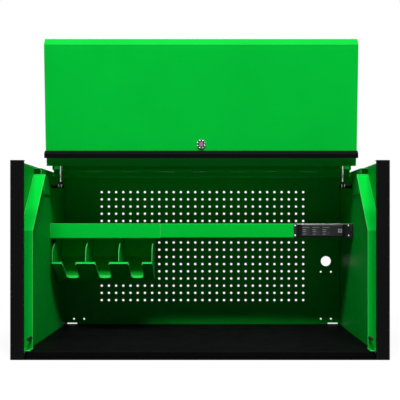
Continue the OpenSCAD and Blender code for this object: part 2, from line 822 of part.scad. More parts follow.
// Housing of the power strip, with its ears and pockets
module strip_housing() {
  low = shelf_z + 2 * bend_r + seat_gap;
  face = rounded_loop([
    [strip_face_y, strip_low_z + strip_bevel, strip_r], [strip_face_y, strip_high_z - strip_bevel, strip_r],
    [strip_back_y, strip_high_z, 0], [strip_back_y, strip_low_z, 0]
  ]);
  color("#1b1b1e")
    difference() {
      union() {
        across(body_x0, body_x1) polygon(face);
        block([body_x0, strip_back_y - eps, low],
          [body_x1, shelf_at + strip_deep, strip_high_z - strip_bevel]);
        block([strip_left, ear_y, strip_low_z], [strip_right, strip_back_y, strip_high_z]);
      }
      for (end = [[body_x0, 45], [body_x1, -45]])
        translate([end[0], strip_face_y, strip_mid_z]) rotate([0, 0, end[1]])
          block([-strip_proud, -2 * strip_proud, -strip_h], [strip_proud, 0, strip_h]);
      for (i = [0 : 2])
        strip_pocket(outlet_at + i * outlet_pitch, outlet_w);
      strip_pocket(usb_at, usb_w);
      for (x = screw_xs, dz = [-screw_dz, screw_dz])
        bar_y(screw_r + run_gap, ear_y - cut, strip_back_y + cut, x, strip_mid_z + dz);
    }
}

// Three outlet faces, each with two blade slots and an earth hole
module strip_outlets() {
  half = outlet_w / 2 - seat_gap;
  near = strip_face_y + outlet_set;
  far = strip_face_y + pocket_d - seat_gap;
  color("#2a2a2e")
    for (i = [0 : 2])
      translate([outlet_at + i * outlet_pitch, 0, strip_mid_z])
        difference() {
          block([-half, near, -half], [half, far, half]);
          for (z = [-blade_dz, blade_dz])
            block([-blade_dx - blade_l / 2, near - cut, z - blade_w / 2],
              [-blade_dx + blade_l / 2, near + socket_d, z + blade_w / 2]);
          bar_y(earth_r, near - cut, near + socket_d, earth_dx, 0);
        }
}

// Pale plate with two charging ports
module strip_usb_plate() {
  half = usb_w / 2 - seat_gap;
  near = strip_face_y + usb_set;
  far = strip_face_y + pocket_d - seat_gap;
  color("#e8e8ea")
    translate([usb_at, 0, strip_mid_z])
      difference() {
        block([-half, near, -half], [half, far, half]);
        for (z = [-port_h, port_h])
          block([-port_w / 2, near - cut, z - port_h / 2], [port_w / 2, near + socket_d, z + port_h / 2]);
      }
}

// Pan-head screws through the ears of the power strip
module strip_screws() {
  color("#c9c9cc")
    for (x = screw_xs, dz = [-screw_dz, screw_dz]) {
      bar_y(screw_head_r, ear_y - screw_head_h, ear_y, x, strip_mid_z + dz);
      bar_y(screw_r, ear_y - eps, strip_back_y, x, strip_mid_z + dz);
    }
}

// One leaf of a long hinge about the X axis, with every other knuckle from first
module hinge_leaf(side, first) {
  pitch = hinge_length / knuckles;
  inner = hinge_gap / 2 - hinge_t;
  outer = hinge_gap / 2;
  edge = -knuckle_r - seat_gap;
  color("#2f9a4c")
    difference() {
      union() {
        block([-hinge_length / 2, min(side * inner, side * outer), edge - hinge_d],
          [hinge_length / 2, max(side * inner, side * outer), edge]);
        for (i = [first : 2 : knuckles - 1]) {
          x0 = -hinge_length / 2 + i * pitch + knuckle_gap / 2;
          x1 = x0 + pitch - knuckle_gap;
          bar_x(knuckle_r, x0, x1, 0, 0);
          block([x0, min(side * inner, side * outer), edge - eps], [x1, max(side * inner, side * outer), 0]);
        }
      }
      bar_x(hinge_pin_r + run_gap, -hinge_length / 2 - cut, hinge_length / 2 + cut, 0, 0);
    }
}

// The pin of a long hinge
module hinge_pin() {
  color("#b9bcc0") bar_x(hinge_pin_r, -hinge_length / 2, hinge_length / 2, 0, 0);
}

// Puts a hinge drawn at the origin on the lid pivot
module at_pivot() {
  translate([0, pivot[0], pivot[1]]) children();
}

// Puts a hinge drawn at the origin under the fold, square to the slope
module at_fold() {
  translate([0, fold[0], fold[1]]) rotate([45, 0, 0]) mirror([0, 0, 1]) children();
}

module rear_hinge_fixed_leaf() { at_pivot() hinge_leaf(1, 0); }
module rear_hinge_pin() { at_pivot() hinge_pin(); }
module rear_hinge_moving_leaf() { rear_leaf_place() at_pivot() hinge_leaf(-1, 1); }
module fold_hinge_upper_leaf() { rear_leaf_place() at_fold() hinge_leaf(1, 0); }
module fold_hinge_pin() { rear_leaf_place() at_fold() hinge_pin(); }
module fold_hinge_lower_leaf() { front_leaf_place() at_fold() hinge_leaf(-1, 1); }

// Outline of the rear leaf, with its faces moved in by s and its inner side at depth d
function rear_leaf_outline(s, d) =
  let (
    low = corner + (hem_l + hinge_gap / 2 + s) * slope,
    near = pivot[0] - hinge_gap / 2 - s
  )
  rounded_loop([
    [near, top_z - s, 0], [crest[0] + s * half_tan, top_z - s, lid_bend_r - s],
    concat(low + s * inward, 0), concat(low + d * inward, 0),
    [crest[0] + d * half_tan, top_z - d, 0], [near, top_z - d, 0]
  ]);

// Outline of the front leaf, with its faces moved in by s and its inner side at depth d
function front_leaf_outline(s, d) =
  let (
    high = corner + (hem_l - hinge_gap / 2 - s) * slope,
    step_z = lid_low_z + lip_low_h
  )
  rounded_loop([
    concat(high + s * inward, 0), [face_y + s, lid_bend_z - s * half_tan, lid_bend_r - s],
    [face_y + s, step_z + s, 0], [face_y + lip_low_set + s, step_z + s, 0],
    [face_y + lip_low_set + s, lid_low_z + s, 0], [face_y + d, lid_low_z + s, 0],
    [face_y + d, lid_bend_z - d * half_tan, 0], concat(high + d * inward, 0)
  ]);

// Outer sheet of the rear leaf, a pan that is open on its inner side
module rear_leaf_skin() {
  color("#00b738") rear_leaf_place()
    difference() {
      across(-lid_x, lid_x) polygon(rear_leaf_outline(0, lid_t));
      across(-lid_x + panel_t, lid_x - panel_t) polygon(rear_leaf_outline(panel_t, lid_t + cut));
    }
}

// Inner sheet of the rear leaf, between the struts
module rear_leaf_liner() {
  d = lid_t;
  low = corner + (hem_l + hinge_gap / 2 + panel_t + seat_gap) * slope + d * inward;
  run = [
    low, [crest[0] + d * half_tan, top_z - d],
    [pivot[0] - hinge_gap / 2 - panel_t - seat_gap, top_z - d]
  ];
  half = hinge_length / 2 + strut_room;
  color("#0a8f30") rear_leaf_place() {
    folded(run, panel_t, -half, half);
    for (side = [-1, 1])
      folded(run, d - panel_t - seat_gap, side * half - panel_t / 2, side * half + panel_t / 2);
  }
}

// Outer sheet of the front leaf, with its set-back lower lip
module front_leaf_skin() {
  color("#00b738") front_leaf_place()
    difference() {
      across(-lid_x, lid_x) polygon(front_leaf_outline(0, lid_t));
      across(-lid_x + panel_t, lid_x - panel_t) polygon(front_leaf_outline(panel_t, lid_t + cut));
      bar_y(lock_body_r + run_gap, face_y - cut, face_y + panel_t + cut, 0, lock_z);
    }
}

// Inner sheet of the front leaf, inside the edges of the outer sheet
module front_leaf_liner() {
  d = lid_t;
  high = corner + (hem_l - hinge_gap / 2 - panel_t - seat_gap) * slope + d * inward;
  run = [[inner_y, lid_low_z + panel_t + seat_gap], [inner_y, lid_bend_z - d * half_tan], high];
  half = lid_x - panel_t - seat_gap;
  color("#0a8f30") front_leaf_place()
    difference() {
      folded(run, panel_t, -half, half);
      bar_y(lock_body_r + seat_gap, inner_y - panel_t - cut, inner_y + cut, 0, lock_z);
    }
}

// Full-width pull, hooked down in front of the leaf's lower edge
module pull_handle() {
  low = lid_low_z + lip_low_h;
  high = low + pull_h;
  run = [
    [face_y - pull_d, low], [face_y - pull_d, high - pull_fall], [face_y - pull_flat, high],
    [face_y, high], [face_y, low]
  ];
  face = [for (i = [0 : 4]) concat(run[i], i == 1 || i == 2 ? pull_r : 0)];
  back = [
    for (i = [4 : -1 : 0])
      concat(moved(run, i, -pull_t), i == 1 || i == 2 ? pull_r - pull_t : 0)
  ];
  color("#111113") front_leaf_place()
    across(-lid_x, lid_x) polygon(concat(rounded_run(face), rounded_run(back)));
}

// Lock body, through both sheets of the front leaf
module lock_body() {
  color("#8f8f94") front_leaf_place()
    difference() {
      bar_y(lock_body_r, face_y, lock_tail_y, 0, lock_z);
      bar_y(lock_barrel_r + run_gap, face_y - cut, lock_tail_y + cut, 0, lock_z);
    }
}

// Scalloped ring on the lid's face
module lock_ring() {
  scallop_x = lock_ring_r + scallop_r / 3;
  color("#d6d6da") front_leaf_place()
    difference() {
      union() {
        bar_y(lock_ring_r, face_y - ring_step_h, face_y, 0, lock_z);
        bar_y(lock_ring_r - ring_step_w, face_y - ring_h, face_y - ring_step_h + eps, 0, lock_z);
      }
      bar_y(lock_barrel_r + run_gap, face_y - ring_h - cut, face_y + cut, 0, lock_z);
      for (i = [0 : scallops - 1])
        let (a = i * 360 / scallops)
        bar_y(scallop_r, face_y - ring_h, face_y - panel_t, scallop_x * cos(a), lock_z + scallop_x * sin(a));
    }
}

// Hexagonal nut that clamps the lock body behind the outer sheet
module lock_nut() {
  near = face_y + panel_t;
  color("#a8a8ac") front_leaf_place()
    difference() {
      translate([0, near, lock_z]) rotate([-90, 0, 0]) cylinder(r = nut_r, h = nut_t, $fn = 6);
      bar_y(lock_body_r + run_gap, near - cut, near + nut_t + cut, 0, lock_z);
    }
}

// Turning barrel with its keyway and its tail
module lock_barrel() {
  front = face_y - ring_h - barrel_proud;
  color("#b7a9a6") front_leaf_place()
    difference() {
      union() {
        bar_y(lock_barrel_r, front, lock_tail_y, 0, lock_z);
        bar_y(tail_r, lock_tail_y - eps, cam_y + cam_t + tail_proud, 0, lock_z);
      }
      difference() {
        bar_y(key_r, front - cut, front + key_d, 0, lock_z);
        bar_y(key_post_r, front + key_post_set, front + key_d + eps, 0, lock_z);
      }
    }
}

// Cam that turns down behind the sill when the lid is shut
module lock_cam() {
  end_x = cam_l - cam_w / 2;
  color("#bfc0c4") front_leaf_place()
    difference() {
      union() {
        bar_y(cam_w / 2, cam_y, cam_y + cam_t, 0, lock_z);
        block([0, cam_y, lock_z - cam_w / 2], [end_x, cam_y + cam_t, lock_z + cam_w / 2]);
        bar_y(cam_w / 2, cam_y, cam_y + cam_t, end_x, lock_z);
      }
      bar_y(tail_r + run_gap, cam_y - cut, cam_y + cam_t + cut, 0, lock_z);
    }
}

// Plate on the inner side wall that carries a strut's lower stud
module strut_bracket() {
  color("#0a8a2e")
    block([bay_x - bracket_t, bracket_rear - bracket_l, bracket_low],
      [bay_x, bracket_rear, bracket_low + bracket_h]);
}

module left_strut_bracket() { on_left() strut_bracket(); }
module right_strut_bracket() { strut_bracket(); }

// Stand-off stud on the bracket for a strut's lower end
module wall_stud() {
  color("#c4c6ca") {
    bar_x(stud_r, stud_end_x, bay_x - bracket_t, strut_low[0], strut_low[1]);
    bar_x(strut_pin_r, stud_head_x - eps, stud_end_x + eps, strut_low[0], strut_low[1]);
    bar_x(stud_head_r, stud_head_x - stud_head_t, stud_head_x, strut_low[0], strut_low[1]);
  }
}

module left_strut_wall_stud() { on_left() wall_stud(); }
module right_strut_wall_stud() { wall_stud(); }

// Stand-off stud on the edge of the rear leaf for a strut's upper end
module lid_stud() {
  high = strut_high_shut;
  near = lid_x - panel_t;
  color("#c4c6ca") rear_leaf_place() {
    block([near - bracket_t, high[0] - lid_plate_l / 2, high[1] - lid_plate_h / 2],
      [near, high[0] + lid_plate_l / 2, high[1] + lid_plate_h / 2]);
    bar_x(stud_r, stud_end_x + seat_gap, near - bracket_t + eps, high[0], high[1]);
  }
}

module left_strut_lid_stud() { on_left() lid_stud(); }
module right_strut_lid_stud() { lid_stud(); }

// Chromed rod with the eye that turns on the wall stud
module strut_rod() {
  color("#e4e6ea") strut_place()
    difference() {
      union() {
        bar_x(fitting_r, strut_at - strut_cyl_r, stud_end_x - seat_gap, 0, 0);
        translate([strut_at, 0, 0]) cylinder(r = fitting_neck_r, h = fitting_l);
        translate([strut_at, 0, fitting_l - eps]) cylinder(r = strut_rod_r, h = rod_l);
      }
      bar_x(strut_pin_r + run_gap, strut_at - strut_cyl_r - cut, stud_end_x + cut, 0, 0);
    }
}

module left_strut_rod() { on_left() strut_rod(); }
module right_strut_rod() { strut_rod(); }

// Black cylinder with the socket that faces the lid stud
module strut_cylinder() {
  high = strut_l - fitting_l;
  low = high - strut_cyl_l;
  color("#1a1a1c") strut_place()
    difference() {
      union() {
        translate([strut_at, 0, low]) cylinder(r = strut_cyl_r, h = strut_cyl_l);
        translate([strut_at, 0, high - eps]) cylinder(r = fitting_neck_r, h = fitting_l);
        bar_x(fitting_r, strut_at - strut_cyl_r, stud_end_x - seat_gap, 0, strut_l);
      }
      translate([strut_at, 0, low - cut])
        cylinder(r = strut_rod_r + run_gap, h = strut_cyl_l - cyl_end_t + cut);
    }
}

module left_strut_cylinder() { on_left() strut_cylinder(); }
module right_strut_cylinder() { strut_cylinder(); }

left_side_shell();
right_side_shell();
left_cheek_panel();
right_cheek_panel();
left_side_liner();
right_side_liner();
left_stop_rail();
right_stop_rail();
stop_bumpers();
base_pan();
deck_channels();
worktop();
back_panel();
rear_top_panel();
shelf();
holder_face();
holder_tray();
holder_dividers();
strip_housing();
strip_outlets();
strip_usb_plate();
strip_screws();
rear_hinge_fixed_leaf();
rear_hinge_pin();
left_strut_bracket();
right_strut_bracket();
left_strut_wall_stud();
right_strut_wall_stud();
rear_leaf_skin();
rear_leaf_liner();
rear_hinge_moving_leaf();
fold_hinge_upper_leaf();
fold_hinge_pin();
left_strut_lid_stud();
right_strut_lid_stud();
front_leaf_skin();
front_leaf_liner();
fold_hinge_lower_leaf();
pull_handle();
lock_body();
lock_ring();
lock_nut();
lock_barrel();
lock_cam();
left_strut_rod();
right_strut_rod();
left_strut_cylinder();
right_strut_cylinder();
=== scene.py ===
"""Dresses the workstation hutch: its paints, plating, plastics and its small turned and moulded pieces."""

import json
import logging
from dataclasses import dataclass, field
from enum import Enum
from math import cos, pi, radians, sin
from typing import Callable

import bmesh
import bpy
from mathutils import Matrix, Vector

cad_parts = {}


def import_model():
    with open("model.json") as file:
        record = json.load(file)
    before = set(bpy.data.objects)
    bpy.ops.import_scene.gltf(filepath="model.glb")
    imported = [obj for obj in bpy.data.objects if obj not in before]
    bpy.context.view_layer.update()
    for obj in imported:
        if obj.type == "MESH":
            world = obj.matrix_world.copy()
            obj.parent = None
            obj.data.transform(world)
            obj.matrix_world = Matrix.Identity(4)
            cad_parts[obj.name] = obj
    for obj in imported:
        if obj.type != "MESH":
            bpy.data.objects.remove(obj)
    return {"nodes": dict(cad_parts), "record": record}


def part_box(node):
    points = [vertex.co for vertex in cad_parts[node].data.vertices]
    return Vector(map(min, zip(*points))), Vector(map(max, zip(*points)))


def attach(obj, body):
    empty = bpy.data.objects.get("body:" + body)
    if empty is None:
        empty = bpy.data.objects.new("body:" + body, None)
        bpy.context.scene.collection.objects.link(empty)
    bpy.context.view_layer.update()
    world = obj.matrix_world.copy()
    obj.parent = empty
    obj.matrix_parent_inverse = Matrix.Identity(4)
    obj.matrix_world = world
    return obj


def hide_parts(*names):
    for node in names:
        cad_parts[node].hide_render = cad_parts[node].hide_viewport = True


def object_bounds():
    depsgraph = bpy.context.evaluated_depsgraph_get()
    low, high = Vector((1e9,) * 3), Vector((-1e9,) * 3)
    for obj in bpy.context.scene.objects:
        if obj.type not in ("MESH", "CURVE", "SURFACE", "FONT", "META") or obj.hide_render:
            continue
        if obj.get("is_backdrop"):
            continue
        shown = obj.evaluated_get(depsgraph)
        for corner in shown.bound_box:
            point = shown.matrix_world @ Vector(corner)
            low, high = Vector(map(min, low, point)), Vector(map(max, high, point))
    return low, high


log = logging.getLogger("hutch")

Obj = bpy.types.Object
Socket = bpy.types.NodeSocket
Pair = tuple[float, float]
Triple = tuple[float, float, float]
Colour = Triple
Rings = list[Pair]
FaceTest = Callable[[Vector, Vector], bool]

MM = 0.001
UNIT: Pair = (0.0, 1.0)
# The values that most of a noise lies between
NOISE_RANGE: Pair = (0.3, 0.7)
# Cosines between the true and the rounded normal, where the painted edge highlight starts and where it is
# full
EDGE_RANGE: Pair = (0.98, 0.82)
# Cosine from which a face or an edge counts as lying along an axis
ALIGNED = 0.99
# Share of a sheet's thickness by which its edges are rounded
ROUNDING = 0.3
# How far the middle ring of a rounded turned edge stands off its corner, as a share of the rounding
MIDDLE_RING = 0.3
# Points of a turned piece that lie closer than this are one
SAME_POINT = 0.01 * MM


class Side(Enum):
    """The two sides of the hutch, with the sign of their X."""

    LEFT = -1
    RIGHT = 1

    @property
    def word(self) -> str:
        """The side's name as the nodes and bodies spell it."""
        return self.name.lower()


class Pick(Enum):
    """What a selection in edit mode is made of."""

    EDGES = "EDGE"
    FACES = "FACE"


class Merge(Enum):
    """How one shape changes another."""

    CUT = "DIFFERENCE"
    WELD = "UNION"


# Work on meshes, as by hand


def take(obj: Obj) -> None:
    """Deselects everything and makes obj the one selected, active object.

    Args:
        obj: The object to work on.
    """
    bpy.ops.object.select_all(action="DESELECT")
    obj.select_set(True)
    bpy.context.view_layer.objects.active = obj


def start_edit(obj: Obj) -> None:
    """Opens obj in edit mode with nothing selected.

    Args:
        obj: The mesh object to edit.
    """
    take(obj)
    bpy.ops.object.mode_set(mode="EDIT")
    bpy.ops.mesh.select_all(action="DESELECT")


def end_edit() -> None:
    """Closes edit mode."""
    bpy.ops.object.mode_set(mode="OBJECT")


def pick(obj: Obj, test: FaceTest, kind: Pick = Pick.FACES) -> None:
    """Selects the faces or edges that a test accepts, in edit mode.

    Args:
        obj: The object that is being edited.
        test: Gets a face's centre and normal, or an edge's middle and direction.
        kind: Whether faces or edges are selected.
    """
    bpy.ops.mesh.select_all(action="DESELECT")
    bpy.ops.mesh.select_mode(type=kind.value)
    mesh = bmesh.from_edit_mesh(obj.data)
    if kind is Pick.FACES:
        for face in mesh.faces:
            if test(face.calc_center_median(), face.normal):
                face.select_set(True)
    else:
        for edge in mesh.edges:
            first, last = (v.co for v in edge.verts)
            if test((first + last) / 2, (last - first).normalized()):
                edge.select_set(True)
    mesh.select_flush_mode()
    bmesh.update_edit_mesh(obj.data)


def faces_front(centre: Vector, normal: Vector) -> bool:
    """Accepts a face that looks to the front."""
    return normal.y < -ALIGNED


def settle(obj: Obj, place: Matrix | None = None) -> None:
    """Moves obj by a matrix and writes its place into its mesh.

    Args:
        obj: The object, whose own transform is applied first.
        place: Where it goes, or None to leave it where it stands.
    """
    take(obj)
    bpy.ops.object.transform_apply(location=True, rotation=True, scale=True)
    if place is not None:
        obj.matrix_world = place
        bpy.ops.object.transform_apply(location=True, rotation=True, scale=True)


def block(name: str, low: Vector, high: Vector) -> Obj:
    """Adds a box between two corners.

    Args:
        name: The object's name.
        low: The lowest corner.
        high: The highest corner.

    Returns:
        The box, with its place in its mesh.
    """
    bpy.ops.mesh.primitive_cube_add(size=1, location=(low + high) / 2)
    box = bpy.context.active_object
    box.name = name
    box.scale = high - low
    settle(box)
    return box


def turned(name: str, profile: Rings, sides: int, hollow: bool = False) -> Obj:
    """Draws a piece ring by ring round the Z axis, as on a lathe.

    Args:
        name: The object's name.
        profile: Radius and height of each ring, from the first to the last.
        sides: How many sides a ring has.
        hollow: True for a piece that closes from its last ring to its first, False for a capped solid.

    Returns:
        The piece, with its axis on Z.
    """
    radius, height = profile[0]
    fill = "NOTHING" if hollow else "NGON"
    bpy.ops.mesh.primitive_circle_add(vertices=sides, radius=radius, fill_type=fill, location=(0, 0, height))
    piece = bpy.context.active_object
    piece.name = name
    settle(piece)
    start_edit(piece)
    bpy.ops.mesh.select_mode(type="EDGE" if hollow else "FACE")
    bpy.ops.mesh.select_all(action="SELECT")
    for next_radius, next_height in profile[1:] + (profile[:1] if hollow else []):
        bpy.ops.mesh.extrude_region_move(TRANSFORM_OT_translate={"value": (0, 0, next_height - height)})
        share = next_radius / radius
        bpy.ops.transform.resize(value=(share, share, 1), center_override=(0, 0, next_height))
        radius, height = next_radius, next_height
    bpy.ops.mesh.select_all(action="SELECT")
    if hollow:
        bpy.ops.mesh.remove_doubles(threshold=SAME_POINT)
    bpy.ops.mesh.normals_make_consistent(inside=False)
    end_edit()
    return piece


def arc(middle: Pair, size: Pair, turns: tuple[float, ...]) -> Rings:
    """Rings of a turned piece along a stretch of an ellipse.

    Args:
        middle: Radius and height of the ellipse's middle.
        size: Its half axes along the radius and the height.
        turns: Where the rings lie, in degrees up from the radius.

    Returns:
        Radius and height of each ring.
    """
    angles = [radians(turn) for turn in turns]
    return [(middle[0] + size[0] * cos(a), middle[1] + size[1] * sin(a)) for a in angles]


def rounded(radius: float, height: float, soft: float) -> Rings:
    """Rings that round the outer top edge of a turned piece.

    Args:
        radius: Radius of the sharp edge.
        height: Its height.
        soft: How far it is rounded.

    Returns:
        Radius and height of each ring, from the outside in.
    """
    near = MIDDLE_RING * soft
    return [(radius, height - soft), (radius - near, height - near), (radius - soft, height)]


def along_y(at: Vector, lean: float = 0.0) -> Matrix:
    """The place of a turned piece whose Z axis is to point to the front.

    Args:
        at: Where the piece's own origin goes.
        lean: Turn about X in radians, for a piece on the leaning front leaf.

    Returns:
        The matrix of that place.
    """
    return Matrix.Translation(at) @ Matrix.Rotation(lean, 4, "X") @ Matrix.Rotation(pi / 2, 4, "X")


def along_x(at: Vector) -> Matrix:
    """The place of a turned piece whose Z axis is to point to the right."""
    return Matrix.Translation(at) @ Matrix.Rotation(pi / 2, 4, "Y")


def copies(model: Obj, places: dict[str, Matrix]) -> list[Obj]:
    """Copies a model to each of its places, and throws the model away.

    Args:
        model: The piece to copy.
        places: Each copy's name, and the move from the model to that copy.

    Returns:
        The copies, each with its own mesh and its place in it.
    """
    made = []
    for name, place in places.items():
        twin = model.copy()
        twin.data = model.data.copy()
        twin.name = name
        bpy.context.scene.collection.objects.link(twin)
        settle(twin, place)
        made.append(twin)
    bpy.data.objects.remove(model, do_unlink=True)
    return made


def joined(name: str, pieces: list[Obj]) -> Obj:
    """Joins objects into one.

    Args:
        name: The name of the joined object.
        pieces: The objects, of which the first one stays.

    Returns:
        The joined object.
    """
    take(pieces[0])
    for piece in pieces[1:]:
        piece.select_set(True)
    bpy.ops.object.join()
    pieces[0].name = name
    return pieces[0]


def crown(name: str, model: Obj, count: int, radius: float, start: float) -> Obj:
    """Repeats a model on a circle round the Z axis, as one object.

    Args:
        name: The object's name.
        model: The piece to repeat.
        count: How many there are.
        radius: The circle's radius.
        start: Where the first one lies, as a share of the step between two.

    Returns:
        The joined pieces.
    """
    angles = [2 * pi * (i + start) / count for i in range(count)]
    spots = [Vector((radius * cos(a), radius * sin(a), 0)) for a in angles]
    places = {f"{name}_{i}": Matrix.Translation(spot) for i, spot in enumerate(spots)}
    return joined(name, copies(model, places))


def apply_modifier(obj: Obj, kind: str, **settings: object) -> None:
    """Adds a modifier to obj and applies it.

    Args:
        obj: The piece to change.
        kind: The modifier's type, such as BOOLEAN.
        **settings: The modifier's own settings.
    """
    modifier = obj.modifiers.new(kind.title(), kind)
    for key, value in settings.items():
        setattr(modifier, key, value)
    take(obj)
    bpy.ops.object.modifier_apply(modifier=modifier.name)


def combine(obj: Obj, other: Obj, how: Merge = Merge.CUT) -> None:
    """Cuts a shape out of obj or welds it on, and throws the shape away.

    Args:
        obj: The piece that stays.
        other: The shape.
        how: Whether it is cut out or welded on.
    """
    apply_modifier(obj, "BOOLEAN", operation=how.value, solver="EXACT", object=other)
    bpy.data.objects.remove(other, do_unlink=True)


def flank(node: str, side: Side, outer: bool) -> float:
    """X of a node's face on one side of the hutch.

    Args:
        node: The node's name without its side.
        side: Which side.
        outer: True for the face that looks outward, and False for the one that looks inward.

    Returns:
        That face's X.
    """
    low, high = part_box(f"{side.word}_{node}")
    return high.x if (side is Side.RIGHT) is outer else low.x


# Finishes


@dataclass(frozen=True)
class Noise:
    """A noise: waves in a metre, octaves, and how far it is drawn along each axis."""

    scale: float
    detail: float = 3.0
    stretch: Triple = (1.0, 1.0, 1.0)


class Graph:
    """The nodes of a material or a world, with short calls for the steps that they share."""

    def __init__(self, owner: bpy.types.Material | bpy.types.World) -> None:
        """Opens a material's or a world's nodes."""
        owner.use_nodes = True
        self.nodes, self.links = owner.node_tree.nodes, owner.node_tree.links

    def feed(self, socket: Socket, value: object) -> None:
        """Feeds a socket.

        Args:
            socket: The socket.
            value: Another socket to link to it, or a constant. A colour is given without its alpha.
        """
        if isinstance(value, Socket):
            self.links.new(value, socket)
        else:
            socket.default_value = (*value, 1.0) if socket.type == "RGBA" else value

    def add(self, kind: str, feeds: dict[object, object] | None = None, **settings: object) -> bpy.types.Node:
        """Adds a node.

        Args:
            kind: The node's type, without ShaderNode.
            feeds: What goes into its sockets, by their names or numbers.
            **settings: Properties of the node.

        Returns:
            The new node.
        """
        node = self.nodes.new(f"ShaderNode{kind}")
        for key, value in settings.items():
            setattr(node, key, value)
        for key, value in (feeds or {}).items():
            self.feed(node.inputs[key], value)
        return node

    def math(self, operation: str, first: object, second: object) -> Socket:
        """The result of a sum on two values."""
        return self.add("Math", {0: first, 1: second}, operation=operation).outputs["Value"]

    def ranged(self, value: object, source: Pair, target: Pair, **settings: object) -> Socket:
        """Carries a value over from one range to another.

        Args:
            value: The value's socket.
            source: The range that it has.
            target: The range that it gets.
            **settings: Properties of the node.

        Returns:
            The new value.
        """
        keys = ("Value", "From Min", "From Max", "To Min", "To Max")
        return self.add("MapRange", dict(zip(keys, (value, *source, *target))), **settings).outputs["Result"]

    def seen(self) -> Socket:
        """Tests for a ray that the camera sends, straight or by a reflection or through glass.

        Returns:
            A value of 1 for such a ray, and 0 for any other.
        """
        path = self.add("LightPath").outputs
        seen = path["Is Camera Ray"]
        for name in ("Is Glossy Ray", "Is Transmission Ray"):
            seen = self.math("MAXIMUM", seen, path[name])
        return seen


class Recipe(Graph):
    """The nodes of one material, with a Principled shader."""

    def __init__(self, name: str) -> None:
        """Starts a material.

        Args:
            name: The material's name.
        """
        self.material = bpy.data.materials.new(name)
        super().__init__(self.material)
        self.shader = self.nodes["Principled BSDF"]
        self.place = self.add("TexCoord").outputs["Object"]

    def spread(self, noise: Noise, target: Pair) -> Socket:
        """Spreads a noise over a range.

        Args:
            noise: The noise.
            target: The range.

        Returns:
            The value.
        """
        return self.ranged(self.noise(noise), NOISE_RANGE, target)

    def noise(self, noise: Noise) -> Socket:
        """Adds a noise texture in object coordinates.

        Args:
            noise: The noise.

        Returns:
            Its value, mostly within NOISE_RANGE.
        """
        drawn = self.add("Mapping", {"Scale": noise.stretch, "Vector": self.place}).outputs["Vector"]
        feeds = {"Scale": noise.scale, "Detail": noise.detail, "Vector": drawn}
        return self.add("TexNoise", feeds).outputs["Fac"]

    def mix(self, share: object, first: object, second: object) -> Socket:
        """The colour that runs from the first to the second with a share of 0 to 1."""
        return self.add("Mix", {"Factor": share, "A": first, "B": second}, data_type="RGBA").outputs["Result"]

    def bevel(self, radius: float) -> Socket:
        """The normal with edges rounded by a radius in metres."""
        return self.add("Bevel", {"Radius": radius}, samples=4).outputs["Normal"]

    def edges(self, radius: float, share: float) -> Socket:
        """Finds the edges, for a painted highlight along them.

        Args:
            radius: How far in metres the painted highlight reaches in from the edge.
            share: The value on a sharp edge.

        Returns:
            A value of 0 away from the edges, which rises to share.
        """
        flat = self.add("NewGeometry").outputs["True Normal"]
        turn = self.add("VectorMath", {0: self.bevel(radius), 1: flat}, operation="DOT_PRODUCT")
        return self.ranged(turn.outputs["Value"], EDGE_RANGE, (0.0, share))

    def set(self, **sockets: object) -> None:
        """Feeds the shader's own sockets.

        Args:
            **sockets: Socket names, with _ for a space, and what goes into them.
        """
        for key, value in sockets.items():
            self.feed(self.shader.inputs[key.replace("_", " ")], value)


def shaded(colour: Colour, share: float) -> Colour:
    """A colour times a number."""
    return (colour[0] * share, colour[1] * share, colour[2] * share)


@dataclass(frozen=True)
class Finish:
    """A finish: a cloudy colour, a gloss that wavers and a fine relief, on nodes and pieces.

    The colour lies between its two shades, the roughness between the two steps round gloss, and edge is the
    radius by which edges look rounded. Along the edges a painted highlight mixes in a share of a pale tone.
    """

    name: str
    slot: str
    colour: Colour
    gloss: float = 0.30
    specular: float = 0.5
    metallic: float = 0.0
    cloud: Noise = Noise(5.0)
    shades: Pair = (0.95, 1.04)
    waver: Noise | None = None
    steps: Pair = (-0.05, 0.08)
    grain: Noise = Noise(1400.0)
    strength: float = 0.5
    depth: float = 0.08 * MM
    edge: float = 0.0
    # A pale tone mixed into the colour along the edges as a painted highlight: its colour, its share on a
    # sharp edge and its reach
    thin_tone: Colour = (0.34, 0.80, 0.42)
    thin_share: float = 0.0
    thin_reach: float = 2.2 * MM

    def build(self) -> bpy.types.Material:
        """Builds the material.

        Returns:
            The material.
        """
        recipe = Recipe(self.name)
        dark, light = (shaded(self.colour, share) for share in self.shades)
        colour = recipe.mix(recipe.spread(self.cloud, UNIT), dark, light)
        # Painted highlight: a pale tone mixed into the colour along the edges
        if self.thin_share:
            colour = recipe.mix(recipe.edges(self.thin_reach, self.thin_share), colour, self.thin_tone)
        gloss = (self.gloss + self.steps[0], self.gloss + self.steps[1])
        relief = {"Strength": self.strength, "Distance": self.depth, "Height": recipe.noise(self.grain)}
        if self.edge:
            relief["Normal"] = recipe.bevel(self.edge)
        recipe.set(
            Base_Color=colour, Roughness=recipe.spread(self.waver or self.grain, gloss),
            Normal=recipe.add("Bump", relief).outputs["Normal"],
            Specular_IOR_Level=self.specular, Metallic=self.metallic,
        )
        return recipe.material

    def dress(self, obj: Obj) -> None:
        """Puts the finish on all of obj. Its material is built when it is first asked for.

        Args:
            obj: A CAD node or a new piece.
        """
        obj.data.materials.clear()
        obj.data.materials.append(bpy.data.materials.get(self.name) or self.build())


@dataclass(frozen=True)
class PowderCoat(Finish):
    """Baked powder paint: an even colour with orange peel."""

    specular: float = 0.05
    cloud: Noise = Noise(5.0, 4.0)
    waver: Noise | None = Noise(26.0, 5.0)
    steps: Pair = (-0.04, 0.06)
    grain: Noise = Noise(420.0, 2.0)
    strength: float = 0.35
    depth: float = 0.12 * MM
    edge: float = 1.4 * MM


